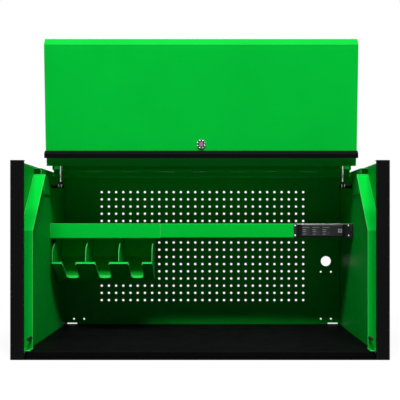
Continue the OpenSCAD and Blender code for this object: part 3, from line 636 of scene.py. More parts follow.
@dataclass(frozen=True)
class PlatedSteel(Finish):
    """Plated or drawn steel, with fine lines and a cloudy gloss."""

    metallic: float = 1.0
    cloud: Noise = Noise(60.0, 4.0)
    shades: Pair = (0.86, 1.0)
    steps: Pair = (-0.06, 0.10)
    grain: Noise = Noise(300.0)
    strength: float = 0.3
    depth: float = 0.02 * MM
    edge: float = 0.4 * MM


@dataclass(frozen=True)
class Moulding(Finish):
    """Moulded plastic with a fine spark-eroded grain."""

    specular: float = 0.3
    cloud: Noise = Noise(18.0)
    shades: Pair = (0.93, 1.05)
    grain: Noise = Noise(1400.0, 2.0)
    edge: float = 0.3 * MM


@dataclass(frozen=True)
class Rubber(Finish):
    """Moulded rubber, matt and faintly mottled with bloom."""

    gloss: float = 0.76
    specular: float = 0.2
    cloud: Noise = Noise(140.0, 4.0)
    shades: Pair = (1.0, 1.7)
    waver: Noise | None = Noise(600.0)
    steps: Pair = (-0.04, 0.14)
    grain: Noise = Noise(900.0)
    strength: float = 0.4
    depth: float = 0.1 * MM


GREEN = PowderCoat("green_powder_coat", "green_paint", (0.0, 0.46, 0.033))
# Green with a painted highlight along its edges
GREEN_EDGE_HIGHLIT = PowderCoat(
    "thin_edged_green", "green_paint", GREEN.colour, gloss=0.44, specular=0.03, thin_share=0.6
)
HINGE_GREEN = PowderCoat("matt_green_powder_coat", "green_paint", GREEN.colour, gloss=0.62, specular=0.02)
FINE_PEEL = Noise(520.0, 2.0)
BLACK = PowderCoat("black_powder_coat", "black_paint", (0.0022, 0.0022, 0.0024), gloss=0.36, grain=FINE_PEEL)
WORKTOP_BLACK = PowderCoat("matt_black_powder_coat", "black_paint", BLACK.colour, gloss=0.55, specular=0.02)
# Black for the side shells, with a grey painted highlight along its edges
SHELL_BLACK = PowderCoat(
    "thin_edged_black", "black_paint", BLACK.colour, gloss=0.36, grain=FINE_PEEL,
    thin_tone=(0.30, 0.31, 0.31), thin_share=0.6, thin_reach=1.6 * MM,
)
PULL_BLACK = PowderCoat("black_pull_paint", "black_pull", (0.003, 0.0031, 0.0034), gloss=0.46, specular=0.02)
STRUT_BLACK = PowderCoat(
    "black_strut_paint", "strut_black", (0.003, 0.003, 0.0032), gloss=0.34, specular=0.06
)
ZINC = PlatedSteel("zinc_plate", "zinc_steel", (0.60, 0.61, 0.58), gloss=0.34, depth=0.04 * MM)
# A pale strip on top of the power strip's housing: a painted highlight
HOUSING_TOP_HIGHLIGHT = PlatedSteel(
    "pale_trim", "zinc_steel", (0.60, 0.64, 0.60), gloss=0.36, grain=Noise(300.0, 3.0, (0.05, 1.0, 1.0)),
    depth=0.04 * MM,
)
CHROME = PlatedSteel("bright_chrome", "chrome", (0.82, 0.83, 0.82), gloss=0.12, depth=0.01 * MM)
# Dark green-tinted nickel on the lock's ring: a painted dark reflection
RING_PAINTED_REFLECTION = PlatedSteel("dim_nickel", "chrome", (0.13, 0.24, 0.16))
# Bright mint on the lock's lobes: a painted highlight
LOBE_PAINTED_HIGHLIGHT = PlatedSteel("mint_nickel", "chrome", (0.70, 0.86, 0.76), gloss=0.24)
LOCK_FACE = PlatedSteel("warm_nickel", "lock_face", (0.40, 0.26, 0.35))
# Dark nickel on the lock's collar and rim: painted shade of the recessed step
NECK_PAINTED_SHADE = PlatedSteel("dark_nickel", "chrome", (0.055, 0.065, 0.06), gloss=0.22)
STRIP_BLACK = Moulding("black_strip_plastic", "strip_plastic", (0.006, 0.006, 0.0066), gloss=0.42)
OUTLET_GREY = Moulding("grey_outlet_plastic", "strip_plastic", (0.018, 0.018, 0.019), gloss=0.36)
RIM_GREY = Moulding("pale_slot_rim", "strip_plastic", (0.42, 0.43, 0.45), gloss=0.32)
SOCKET_BLACK = Moulding("black_socket_plastic", "strut_black", (0.005, 0.005, 0.0055), gloss=0.38)
PORT_WHITE = Moulding("white_port_plastic", "white_plastic", (0.34, 0.34, 0.36), gloss=0.26, depth=0.03 * MM)
BUMPER = Rubber("black_rubber", "bumper_rubber", (0.009, 0.009, 0.009))


# Sub-assemblies


@dataclass
class SubAssembly:
    """Nodes and new pieces that belong together and ride on one body unless a method says otherwise."""

    nodes: dict[str, Obj]
    body: str = "cabinet"

    def dress(self, finish: Finish, *names: str) -> None:
        """Puts a finish on CAD nodes.

        Args:
            finish: The finish.
            *names: The nodes' names.
        """
        for name in names:
            finish.dress(self.nodes[name])
            log.info("%s wears %s", name, finish.name)

    def fit(
        self, piece: Obj, finish: Finish, body: str = "", stands_for: str = "",
        place: Matrix | None = None, angle: float = 35.0,
    ) -> None:
        """Finishes a new piece: its place, shading, paint and body, and the node that it stands for.

        Args:
            piece: The new piece.
            finish: Its finish.
            body: The body that it rides on, or nothing for the sub-assembly's own.
            stands_for: The node that it replaces, or nothing.
            place: Where it goes, or None where it stands there already.
            angle: It is shaded smooth but for edges sharper than this, in degrees.
        """
        settle(piece, place)
        bpy.ops.object.shade_smooth_by_angle(angle=radians(angle))
        finish.dress(piece)
        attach(piece, body or self.body)
        if stands_for:
            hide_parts(stands_for)
        log.info("%s is made", piece.name)


@dataclass
class Carcass(SubAssembly):
    """The black outer shells and base, and the green inner walls."""

    sheet: float = 1.2 * MM
    gap: float = 0.3 * MM
    return_h: float = 24 * MM
    return_soft: float = 0.48 * MM
    foot_lap: float = 1.8 * MM
    foot_set: float = 9.5 * MM
    foot_l: float = 110 * MM
    foot_drop: float = 0.1 * MM

    def wall_return(self, side: Side) -> None:
        """Makes the return that closes the step between the cheek panel and the inner wall behind it.

        Args:
            side: Which side.
        """
        inner = flank("side_liner", side, False) + side.value * (self.sheet + 2 * self.gap)
        near, far = sorted((flank("cheek_panel", side, True) - side.value * self.gap, inner))
        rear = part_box(f"{side.word}_stop_rail")[1].y + self.gap + self.sheet
        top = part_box(f"{side.word}_side_liner")[1].z - self.gap
        low = Vector((near, rear - self.sheet, top - self.return_h))
        plate = block(f"{side.word}_wall_return", low, Vector((far, rear, top)))
        start_edit(plate)
        pick(plate, lambda middle, way: abs(way.x) > ALIGNED and middle.z > top - self.gap, Pick.EDGES)
        bpy.ops.mesh.bevel(offset=self.return_soft, segments=3, affect="EDGES")
        end_edit()
        self.fit(plate, GREEN)

    def foot_plate(self, side: Side) -> None:
        """Makes the plate that closes the bottom between the shell and the base, below the stop.

        Args:
            side: Which side.
        """
        inner = flank("cheek_panel", side, True) - side.value * self.foot_lap
        near, far = sorted((inner, flank("side_shell", side, False) + side.value * self.gap))
        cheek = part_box(f"{side.word}_cheek_panel")[0]
        front, top = cheek.y + self.foot_set, cheek.z - self.foot_drop
        low = Vector((near, front, top - self.sheet))
        plate = block(f"{side.word}_foot_plate", low, Vector((far, front + self.foot_l, top)))
        apply_modifier(plate, "BEVEL", width=self.sheet * ROUNDING, segments=2)
        self.fit(plate, BLACK)

    def build(self) -> None:
        """Dresses the shells, the base and the walls, and closes the steps in the walls."""
        for side in Side:
            self.wall_return(side)
            self.foot_plate(side)
            self.dress(SHELL_BLACK, f"{side.word}_side_shell")
            self.dress(GREEN_EDGE_HIGHLIT, f"{side.word}_cheek_panel", f"{side.word}_side_liner")
        self.dress(BLACK, "base_pan", "deck_channels")
        self.dress(WORKTOP_BLACK, "worktop")
        self.dress(GREEN, "back_panel", "rear_top_panel")


@dataclass
class Stops(SubAssembly):
    """The flanges that the closed lid rests against, with their rubber buffers.

    rib_points gives one rib: the share of the pitch along the buffer, and the share of the rib's depth.
    nose_ribs is how many more ribs the plain part of the buffer would hold.
    """

    buffer_sides: int = 32
    ribs: int = 6
    nose_ribs: int = 2
    rib_depth: float = 0.5 * MM
    rib_points: tuple[Pair, ...] = ((0.6, 0.0), (0.75, 1.0), (1.05, 1.0), (1.2, 0.0))
    nose: float = 1.4 * MM
    nose_turns: tuple[float, ...] = (0, 22.5, 45, 67.5, 90)
    dimple: Pair = (0.35, 0.25)
    dimple_d: float = 0.4 * MM

    def buffer_profile(self, radius: float, length: float) -> Rings:
        """Rings of a ribbed buffer with a rounded, dimpled nose.

        Args:
            radius: The buffer's radius.
            length: Its length from the flange to its nose.

        Returns:
            Radius and height of each ring.
        """
        pitch = length / (self.ribs + self.nose_ribs)
        rings = [(radius, 0.0)]
        for i in range(self.ribs):
            rings += [(radius - deep * self.rib_depth, (i + at) * pitch) for at, deep in self.rib_points]
        rings += arc((radius - self.nose, length - self.nose), (self.nose, self.nose), self.nose_turns)
        wide, narrow = self.dimple
        return rings + [(radius * wide, length), (radius * narrow, length - self.dimple_d)]

    def build(self) -> None:
        """Dresses the flanges and makes the two buffers."""
        self.dress(GREEN_EDGE_HIGHLIT, "left_stop_rail", "right_stop_rail")
        low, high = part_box("stop_bumpers")
        radius = (high.z - low.z) / 2
        model = turned("stop_buffer_model", self.buffer_profile(radius, high.y - low.y), self.buffer_sides)
        places = {}
        for side in Side:
            at = Vector((side.value * (high.x - radius), high.y, low.z + radius))
            places[f"{side.word}_stop_buffer"] = along_y(at)
        for buffer in copies(model, places):
            self.fit(buffer, BUMPER, stands_for="stop_bumpers", angle=50)


@dataclass
class ShelfAndHolder(SubAssembly):
    """The shelf and the folded tool holder with its dividers."""

    def build(self) -> None:
        """Dresses the shelf and the holder."""
        self.dress(GREEN_EDGE_HIGHLIT, "shelf", "holder_face", "holder_tray", "holder_dividers")


@dataclass
class PowerStrip(SubAssembly):
    """The power strip: its housing, three outlet faces, a charging plate and four screws.

    bars gives the height and the length, in millimetres, of each raised bar on an outlet face. lip_round and
    lip_deep are shares of a plate's lip, and tongue and the reach of the black cross of painted shade are
    shares of the port and of the plate.
    """

    outlets: int = 3
    bore_sides: int = 24
    screw_sides: int = 28
    seat: float = 0.3 * MM
    face_corner: float = 1.6 * MM
    face_lip: float = 0.7 * MM
    lip_round: float = 0.4
    lip_deep: float = 0.35
    face_taper: float = 0.98
    blade: Pair = (8 * MM, 2 * MM)
    blade_dx: float = 3 * MM
    blade_dz: float = 6.3 * MM
    earth_r: float = 2.4 * MM
    earth_dx: float = 6.5 * MM
    socket_d: float = 3.4 * MM
    clear: float = 1.0 * MM
    bar_w: float = 0.9 * MM
    bar_proud: float = 0.35 * MM
    bar_end: float = 0.8 * MM
    bars: tuple[Pair, ...] = ((-11.0, 11.0), (-3.2, 11.0), (3.2, 11.0), (11.0, 22.0))
    # Size and setback of the pale strip on the housing's top, a painted highlight
    trim_h: float = 1.6 * MM
    trim_d: float = 1.0 * MM
    trim_set: float = 4.0 * MM
    # Gap and setback of the black block beside the housing, a painted shade
    cap_gap: float = 0.3 * MM
    cap_set: float = 2.4 * MM
    port: Pair = (9.2 * MM, 3.2 * MM)
    port_dz: float = 3.2 * MM
    port_corner: float = 1.0 * MM
    port_lip: float = 0.4 * MM
    tongue: Pair = (0.82, 0.36)
    tongue_soft: float = 0.15 * MM
    # Width of the black cross between the ports, a painted shade, and its reach
    web_w: float = 1.3 * MM
    web_reach: float = 0.9
    screw_r: float = 3.2 * MM
    screw_h: float = 2.0 * MM
    screw_edge: float = 0.35
    screw_turns: tuple[float, ...] = (10, 35, 60, 80)
    shank_r: float = 1.6 * MM
    cross_l: float = 3.6 * MM
    cross_w: float = 0.8 * MM
    cross_d: float = 1.0 * MM

    def rounded_plate(self, name: str, low: Vector, high: Vector, corner: float, lip: float) -> Obj:
        """A plate with rounded corners, a soft front edge and a face set in a little.

        Args:
            name: The plate's name.
            low: Its lowest corner.
            high: Its highest corner.
            corner: Radius of the four corners.
            lip: Width of the lip round the face.

        Returns:
            The plate.
        """
        plate = block(name, low, high)
        start_edit(plate)
        pick(plate, lambda middle, way: abs(way.y) > ALIGNED, Pick.EDGES)
        bpy.ops.mesh.bevel(offset=corner, segments=4, affect="EDGES")
        pick(plate, faces_front)
        bpy.ops.mesh.bevel(offset=lip * self.lip_round, segments=2, affect="EDGES")
        pick(plate, faces_front)
        bpy.ops.mesh.inset(thickness=lip, depth=0)
        bpy.ops.mesh.extrude_region_move(TRANSFORM_OT_translate={"value": (0, lip * self.lip_deep, 0)})
        taper = (self.face_taper, 1, self.face_taper)
        bpy.ops.transform.resize(value=taper, center_override=(low + high) / 2)
        end_edit()
        return plate

    def slot_box(self, name: str, centre: Vector, size: Pair, near: float, far: float) -> Obj:
        """A box that runs from near to far along Y, for a slot or its rim.

        Args:
            name: The box's name.
            centre: Its middle, of which Y isn't used.
            size: Its width and height.
            near: Y of its front.
            far: Y of its back.

        Returns:
            The box.
        """
        half = Vector((size[0], 0, size[1])) / 2
        low, high = centre - half, centre + half
        low.y, high.y = near, far
        return block(name, low, high)

    def outlet(self, index: int, centre: Vector, half: float, far: float) -> None:
        """Makes one outlet face with two blade slots, an earth hole and the raised bars along the slots.

        Args:
            index: The outlet's number, from the left.
            centre: Middle of its face.
            half: Half of its side.
            far: Y of its back.
        """
        near, deep = centre.y - self.clear, centre.y + self.socket_d
        size = Vector((half, 0, half))
        low, high = centre - size, centre + size
        high.y = far
        face = self.rounded_plate(f"outlet_face_{index}", low, high, self.face_corner, self.face_lip)
        bars = []
        for z, reach in self.bars:
            start = Vector((low.x + self.bar_end, low.y - self.bar_proud, centre.z + z * MM - self.bar_w / 2))
            size = Vector((reach * MM, self.bar_proud + self.seat, self.bar_w))
            bars.append(block("bar", start, start + size))
        lips = joined(f"outlet_lips_{index}", bars)
        apply_modifier(lips, "BEVEL", width=self.bar_w * ROUNDING, segments=2)
        for place in (-1, 1):
            middle = centre + Vector((-self.blade_dx, 0, place * self.blade_dz))
            combine(face, self.slot_box("slot", middle, self.blade, near, deep))
        bore = turned("bore", [(self.earth_r, 0.0), (self.earth_r, deep - near)], self.bore_sides)
        settle(bore, along_y(Vector((centre.x + self.earth_dx, deep, centre.z))))
        combine(face, bore)
        self.fit(face, OUTLET_GREY, stands_for="strip_outlets")
        self.fit(lips, RIM_GREY)

    def charging_plate(self) -> None:
        """Makes the white plate with its two ports and their tongues, and a black cross between them as
        painted shade.
        """
        low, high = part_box("strip_usb_plate")
        centre = (low + high) / 2
        near, deep = low.y - self.clear, low.y + self.socket_d
        plate = self.rounded_plate("charging_plate", low, high, self.port_corner, self.port_lip)
        slim = (self.port[0] * self.tongue[0], self.port[1] * self.tongue[1])
        tongues = []
        for place in (-1, 1):
            middle = centre + Vector((0, 0, place * self.port_dz))
            combine(plate, self.slot_box("port", middle, self.port, near, deep))
            tongues.append(self.slot_box("tongue", middle, slim, low.y + self.seat, deep))
        tongue = joined("charging_port_tongues", tongues)
        apply_modifier(tongue, "BEVEL", width=self.tongue_soft, segments=2)
        # A black cross standing proud between the ports: painted shade in the gaps between them
        reach = (high.z - low.z) * self.web_reach
        shade_arms = [
            self.slot_box("arm", centre, size, low.y - self.bar_proud, low.y + self.seat)
            for size in ((self.web_w, reach), (reach, self.web_w))
        ]
        self.fit(plate, PORT_WHITE, stands_for="strip_usb_plate")
        self.fit(tongue, PORT_WHITE)
        self.fit(joined("charging_port_web", shade_arms), STRIP_BLACK)

    def top_trim(self) -> None:
        """Makes a pale strip along the top of the housing: a painted highlight."""
        low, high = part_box("strip_housing")
        ear = 2 * (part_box("strip_screws")[0].x + self.screw_r - low.x)
        start = Vector((low.x + ear, low.y + self.trim_set, high.z - self.trim_h))
        highlight_strip = block("strip_top_trim", start, Vector((high.x - ear, start.y + self.trim_d, high.z)))
        apply_modifier(highlight_strip, "BEVEL", width=self.trim_d * ROUNDING, segments=3)
        self.fit(highlight_strip, HOUSING_TOP_HIGHLIGHT)

    def end_cap(self) -> None:
        """Makes a black block that fills the shelf's lip between the housing and the right wall: painted
        shade.
        """
        low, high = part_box("strip_housing")
        start = Vector((high.x + self.cap_gap, low.y + self.cap_set, low.z))
        high.x = flank("side_liner", Side.RIGHT, False) - self.cap_gap
        filler = block("strip_end_cap", start, high)
        apply_modifier(filler, "BEVEL", width=self.cap_gap, segments=2)
        self.fit(filler, STRIP_BLACK)

    def screws(self) -> None:
        """Makes the four pan-head screws with their cross recesses."""
        low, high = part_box("strip_screws")
        r, h, seat_y = self.screw_r, self.screw_h, low.y + self.screw_h
        rings = [(self.shank_r, seat_y - high.y), (self.shank_r, 0.0), (r, 0.0)]
        rings += arc((0.0, self.screw_edge * h), (r, (1 - self.screw_edge) * h), self.screw_turns)
        model = turned("screw_model", rings, self.screw_sides)
        top, deep = Vector((0, 0, h + self.seat)), Vector((0, 0, self.cross_d))
        for width, length in ((self.cross_l, self.cross_w), (self.cross_w, self.cross_l)):
            half = Vector((width, length, 0)) / 2
            combine(model, block("recess", top - half - deep, top + half))
        places = {}
        for side, x in ((Side.LEFT, low.x + r), (Side.RIGHT, high.x - r)):
            for row, z in (("low", low.z + r), ("high", high.z - r)):
                places[f"{side.word}_{row}_strip_screw"] = along_y(Vector((x, seat_y, z)))
        for screw in copies(model, places):
            self.fit(screw, ZINC, stands_for="strip_screws")

    def build(self) -> None:
        """Dresses the housing and makes the outlets, the charging plate and the screws."""
        self.dress(STRIP_BLACK, "strip_housing")
        low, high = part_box("strip_outlets")
        half = (high.z - low.z) / 2
        pitch = (high.x - low.x - 2 * half) / (self.outlets - 1)
        for i in range(self.outlets):
            self.outlet(i + 1, Vector((low.x + half + i * pitch, low.y, low.z + half)), half, high.y)
        self.charging_plate()
        self.top_trim()
        self.end_cap()
        self.screws()


@dataclass
class Lid(SubAssembly):
    """The two leaves of the lid, their hinges and the pull."""

    flange: float = 1.1 * MM
    curl_r: float = 1.7 * MM
    curl_sides: int = 24
    upstand_h: float = 1.6 * MM
    gap: float = 0.25 * MM

    def hinge_end(self, side: Side, edge: float) -> None:
        """Carries the fixed hinge leaf and its curl on to the end of the lid, as a closing strip.

        Args:
            side: Which end.
            edge: Distance of the lid's end from the middle.
        """
        low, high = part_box("rear_hinge_fixed_leaf")
        near, far = sorted((side.value * (high.x + self.gap), side.value * edge))
        pin_low, pin_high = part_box("rear_hinge_pin")
        axis = (pin_low + pin_high) / 2
        start = Vector((near, high.y - self.flange, low.z + self.gap))
        plate = block(f"{side.word}_hinge_end", start, Vector((far, high.y, axis.z)))
        curl = turned("curl", [(self.curl_r, 0.0), (self.curl_r, far - near)], self.curl_sides)
        settle(curl, along_x(Vector((near, axis.y, axis.z))))
        combine(plate, curl, Merge.WELD)
        self.fit(plate, HINGE_GREEN)

    def upstand(self, edge: float) -> None:
        """Makes the low upstand behind the rear hinge, which closes the slit above its knuckles.

        Args:
            edge: Distance of the lid's ends from the middle.
        """
        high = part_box("rear_hinge_fixed_leaf")[1]
        near = high.y + 2 * self.gap
        low = Vector((-edge, near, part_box("rear_top_panel")[1].z))
        high = Vector((edge, near + self.flange, high.z + self.upstand_h))
        strip = block("rear_hinge_upstand", low, high)
        apply_modifier(strip, "BEVEL", width=self.flange * ROUNDING, segments=2)
        self.fit(strip, HINGE_GREEN)

    def build(self) -> None:
        """Dresses the leaves, the hinges and the pull, and closes the ends of the rear hinge."""
        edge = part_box("rear_leaf_skin")[1].x - self.flange
        for side in Side:
            self.hinge_end(side, edge)
        self.upstand(edge)
        self.dress(GREEN, "rear_leaf_skin", "rear_leaf_liner", "front_leaf_skin", "front_leaf_liner")
        self.dress(HINGE_GREEN, "rear_hinge_fixed_leaf", "rear_hinge_moving_leaf", "rear_hinge_pin")
        self.dress(HINGE_GREEN, "fold_hinge_upper_leaf", "fold_hinge_lower_leaf", "fold_hinge_pin")
        self.dress(PULL_BLACK, "pull_handle")


@dataclass
class CamLock(SubAssembly):
    """The tubular cam lock in the front leaf.

    soft is how far its turned edges are rounded, chamfer is the share of it that a plain cut takes, and
    notch_share is half the notch as a share of key_r. lobe_start is a share of the step between lobes.
    """

    joint: dict[str, object] = field(default_factory=dict)
    ring_r: float = 15 * MM
    step_h: float = 2.2 * MM
    step_w: float = 2 * MM
    ring_h: float = 4 * MM
    barrel_r: float = 8.5 * MM
    ring_gap: float = 0.1 * MM
    neck_gap: float = 0.15 * MM
    rim_gap: float = 0.05 * MM
    proud: float = 4.6 * MM
    key_r: float = 4.6 * MM
    key_d: float = 8 * MM
    post_r: float = 2.6 * MM
    post_drop: float = 1 * MM
    notch_share: float = 0.28
    notch_d: float = 3 * MM
    notch_out: float = 1.2 * MM
    soft: float = 0.5 * MM
    chamfer: float = 0.6
    ring_sides: int = 96
    plug_sides: int = 64
    scallops: int = 8
    scallop_sides: int = 20
    scallop_r: float = 2.7 * MM
    scallop_out: float = 15.4 * MM
    lid_sheet: float = 1.2 * MM
    barrel_l: float = 20 * MM
    tail_r: float = 5 * MM
    tail_l: float = 27.9 * MM
    face_r: float = 6.7 * MM
    rim_drop: float = 0.5 * MM
    rim_seat: float = 1.2 * MM
    lobe_r: float = 2.1 * MM
    lobe_h: float = 1.3 * MM
    lobe_out: float = 11.5 * MM
    lobe_turns: tuple[float, ...] = (20, 40, 60, 80)
    lobe_sides: int = 24
    lobe_start: float = 0.5

    @property
    def place(self) -> Matrix:
        """Where the middle of the lock meets the leaf's face, with the lock's axis on Z."""
        return along_y(Vector(self.joint["pos_m"]), self.joint["axis"][2])

    def ring(self) -> None:
        """Makes the stepped ring with scallops round its edge."""
        bore, step_r, s = self.barrel_r + self.ring_gap, self.ring_r - self.step_w, self.soft
        rings = [
            (bore, 0.0), (self.ring_r, 0.0), (self.ring_r, self.step_h - s), (self.ring_r - s, self.step_h),
            (step_r, self.step_h), *rounded(step_r, self.ring_h, s), (bore + s, self.ring_h),
            (bore, self.ring_h - s),
        ]
        ring = turned("lock_bezel", rings, self.ring_sides, hollow=True)
        heights = [(self.scallop_r, self.lid_sheet), (self.scallop_r, self.ring_h + s)]
        scallop = turned("scallop_model", heights, self.scallop_sides)
        combine(ring, crown("scallops", scallop, self.scallops, self.scallop_out, 0.0))
        # The ring's dark green tint is a painted reflection
        self.fit(ring, RING_PAINTED_REFLECTION, "front_leaf", "lock_ring", self.place)

    def lobes(self) -> None:
        """Makes the rounded lobes between the scallops, whose bright mint colour is a painted highlight."""
        rings = [(self.lobe_r, self.step_h), (self.lobe_r, self.ring_h)]
        rings += arc((0.0, self.ring_h), (self.lobe_r, self.lobe_h), self.lobe_turns)
        model = turned("lobe_model", rings, self.lobe_sides)
        lobes = crown("lock_lobes", model, self.scallops, self.lobe_out, self.lobe_start)
        self.fit(lobes, LOBE_PAINTED_HIGHLIGHT, "front_leaf", place=self.place, angle=40)

    def neck(self) -> None:
        """Makes the collar on the ring's step, round the barrel, dark with painted shade."""
        inner, outer = self.barrel_r + self.neck_gap, self.ring_r - self.step_w + self.ring_gap
        low, top, s = self.step_h, self.ring_h + self.ring_gap, self.soft
        rings = [(inner, low), (outer, low), *rounded(outer, top, s), (inner + s, top), (inner, top - s)]
        collar = turned("lock_collar", rings, self.ring_sides, hollow=True)
        self.fit(collar, NECK_PAINTED_SHADE, "front_leaf", place=self.place)

    def barrel(self) -> None:
        """Makes the turning barrel with its ring-shaped keyway, centre post and index notch."""
        top, post, face, seat, s = self.proud, self.post_r, self.face_r, self.proud - self.rim_seat, self.soft
        key, floor, post_top = self.key_r, top - self.key_d, top - self.post_drop
        cut = self.chamfer * s
        rings = [
            (post - 0.5 * s, post_top), (post, post_top - 0.5 * s), (post, floor), (key, floor),
            (key, top - cut), (key + cut, top), *reversed(rounded(face, top, s)), (face, seat),
            (self.barrel_r, seat), (self.barrel_r, -self.barrel_l), (self.tail_r, -self.barrel_l),
            (self.tail_r, -self.tail_l),
        ]
        barrel = turned("lock_plug_face", rings, self.plug_sides)
        half = key * self.notch_share
        low = Vector((-half, key - s, top - self.notch_d))
        combine(barrel, block("notch", low, Vector((half, key + self.notch_out, top + s))))
        self.fit(barrel, LOCK_FACE, "lock_plug", "lock_barrel", self.place)

    def rim(self) -> None:
        """Makes the rim round the barrel's face, dark with painted shade."""
        inner, outer, cut = self.face_r + self.rim_gap, self.barrel_r, self.chamfer * self.soft
        low, top = self.proud - self.rim_seat, self.proud - self.rim_drop
        rings = [(inner, low), (outer, low), (outer, top - cut), (outer - cut, top), (inner, top)]
        rim = turned("lock_plug_rim", rings, self.plug_sides, hollow=True)
        self.fit(rim, NECK_PAINTED_SHADE, "lock_plug", place=self.place)

    def build(self) -> None:
        """Dresses the lock's body, nut and cam, and makes its ring and barrel."""
        self.dress(ZINC, "lock_body", "lock_nut", "lock_cam")
        self.ring()
        self.lobes()
        self.neck()
        self.barrel()
        self.rim()


@dataclass
class GasStrut(SubAssembly):
    """One gas strut: its rod and cylinder, the ball sockets at both ends, and the bracket and studs.

    groove is the depth of the grooves, and the unit of the small steps in the turned outlines.
    """

    side: Side = Side.LEFT
    swing: dict[str, object] = field(default_factory=dict)
    slide: dict[str, object] = field(default_factory=dict)
    end_sides: int = 40
    neck_sides: int = 32
    tube_sides: int = 48
    rod_r: float = 3.0 * MM
    tube_r: float = 7.5 * MM
    wall: float = 1.2 * MM
    roll: float = 0.9 * MM
    groove: float = 0.7 * MM
    end_l: float = 14 * MM
    socket_r: float = 7.0 * MM
    socket_half: float = 7.4 * MM
    clip_r: float = 7.3 * MM
    clip_w: float = 2.4 * MM
    clip_at: float = 4.6 * MM
    clip_grip: float = 0.4
    gland_r: float = 6.34 * MM
    gland_h: float = 2.6 * MM
    gland_gap: float = 0.15 * MM
    gland_lip: float = 0.4 * MM
    gland_steps: Pair = (0.6 * MM, 1.6 * MM)

    @property
    def low_pivot(self) -> Vector:
        """The lower pivot."""
        return Vector(self.swing["pos_m"])

    @property
    def way(self) -> Vector:
        """The direction from the lower pivot to the upper one."""
        return Vector(self.slide["axis"])

    @property
    def low_body(self) -> str:
        """The body of the rod and the lower socket."""
        return f"{self.side.word}_rod"

    @property
    def high_body(self) -> str:
        """The body of the cylinder and the upper socket."""
        return f"{self.side.word}_cylinder"

    def span(self, node: str) -> Pair:
        """Nearest and farthest point of a node along the strut, from the lower pivot.

        Args:
            node: The node's name without its side.

        Returns:
            Both distances.
        """
        mesh = self.nodes[f"{self.side.word}_{node}"].data
        along = [(v.co - self.low_pivot).dot(self.way) for v in mesh.vertices]
        return min(along), max(along)

    def place(self, distance: float) -> Matrix:
        """The place of a turned piece on the strut's axis, at a distance from the lower pivot."""
        turn = Vector((0, 0, 1)).rotation_difference(self.way).to_matrix().to_4x4()
        return Matrix.Translation(self.low_pivot + self.way * distance) @ turn

    def socket(self, name: str, distance: float, up: bool, body: str) -> None:
        """Makes a ball socket with its neck.

        Args:
            name: The socket's name.
            distance: Distance of its pivot from the lower pivot.
            up: True if its neck points up the strut.
            body: The body that it rides on.
        """
        r, half, c = self.socket_r, self.socket_half, self.groove
        rings = [(r - 2.2 * c, -half), (r - c, -half + 0.4 * c), (r, -half + 1.6 * c)]
        for at in (-self.clip_at, self.clip_at):
            low, high = at - self.clip_w / 2, at + self.clip_w / 2
            if at > 0:
                rings.append((r, low - 0.2 * c))
            rings += [(r - c, low), (r - c, high), (r, high + 0.2 * c)]
        rings += [(r, half - 0.5 * c), (r - c, half - 0.2 * c), (r - 2.2 * c, half), (r - 4 * c, half - c)]
        socket = turned(name, rings, self.end_sides)
        settle(socket, along_x(self.low_pivot + self.way * distance))
        rings = [
            (r - 2 * c, 0.3 * r), (r - c, 0.9 * r), (r - 1.2 * c, self.end_l - 2 * c),
            (r - 2 * c, self.end_l - c), (r - 3 * c, self.end_l),
        ]
        neck = turned("neck", rings, self.neck_sides)
        settle(neck, self.place(distance) @ Matrix.Rotation(0 if up else pi, 4, "X"))
        combine(socket, neck, Merge.WELD)
        self.fit(socket, SOCKET_BLACK, body, angle=40)

    def clips(self, name: str, distance: float, body: str) -> None:
        """Makes the two spring clips in a socket's grooves.

        Args:
            name: The clips' name.
            distance: Distance of the socket's pivot from the lower pivot.
            body: The body that they ride on.
        """
        inner, outer, s = self.socket_r - self.groove, self.clip_r, 0.2 * self.groove
        clips = []
        for at in (-self.clip_at, self.clip_at):
            low, high = at - self.clip_grip * self.clip_w, at + self.clip_grip * self.clip_w
            rings = [
                (inner, low), (outer - s, low), (outer, low + s), (outer, high - s), (outer - s, high),
                (inner, high),
            ]
            clips.append(turned("clip", rings, self.end_sides, hollow=True))
        place = along_x(self.low_pivot + self.way * distance)
        self.fit(joined(name, clips), CHROME, body, place=place)

    def rod(self) -> None:
        """Makes the polished rod."""
        far = self.span("strut_rod")[1]
        r, start = self.rod_r, self.end_l - 2 * self.groove
        rings = [(r, start), (r, far - 0.5 * r), (0.7 * r, far - 0.1 * r), (0.5 * r, far)]
        rod = turned(f"{self.side.word}_polished_rod", rings, self.end_sides)
        self.fit(rod, CHROME, self.low_body, f"{self.side.word}_strut_rod", self.place(0.0))

    def tube(self, mouth: float, top: float) -> None:
        """Makes the cylinder: a tube with a rolled groove near its mouth and a drawn-in top.

        Args:
            mouth: Distance of its open end from the lower pivot.
            top: Distance of its closed end.
        """
        r, g, w, inner = self.tube_r, self.groove, self.roll, self.tube_r - self.wall
        rings = [
            (inner, mouth), (r - 0.6 * g, mouth), (r, mouth + 0.5 * g), (r, mouth + 3 * w),
            (r - g, mouth + 4 * w), (r - g, mouth + 5 * w), (r, mouth + 6 * w), (r, top - 2 * g),
            (r - 0.7 * g, top - 0.5 * g), (r - 2 * g, top), (self.rod_r, top), (self.rod_r, top - self.wall),
            (inner, top - 2 * self.wall),
        ]
        tube = turned(f"{self.side.word}_strut_tube", rings, self.tube_sides, hollow=True)
        self.fit(tube, STRUT_BLACK, self.high_body, f"{self.side.word}_strut_cylinder", self.place(0.0))

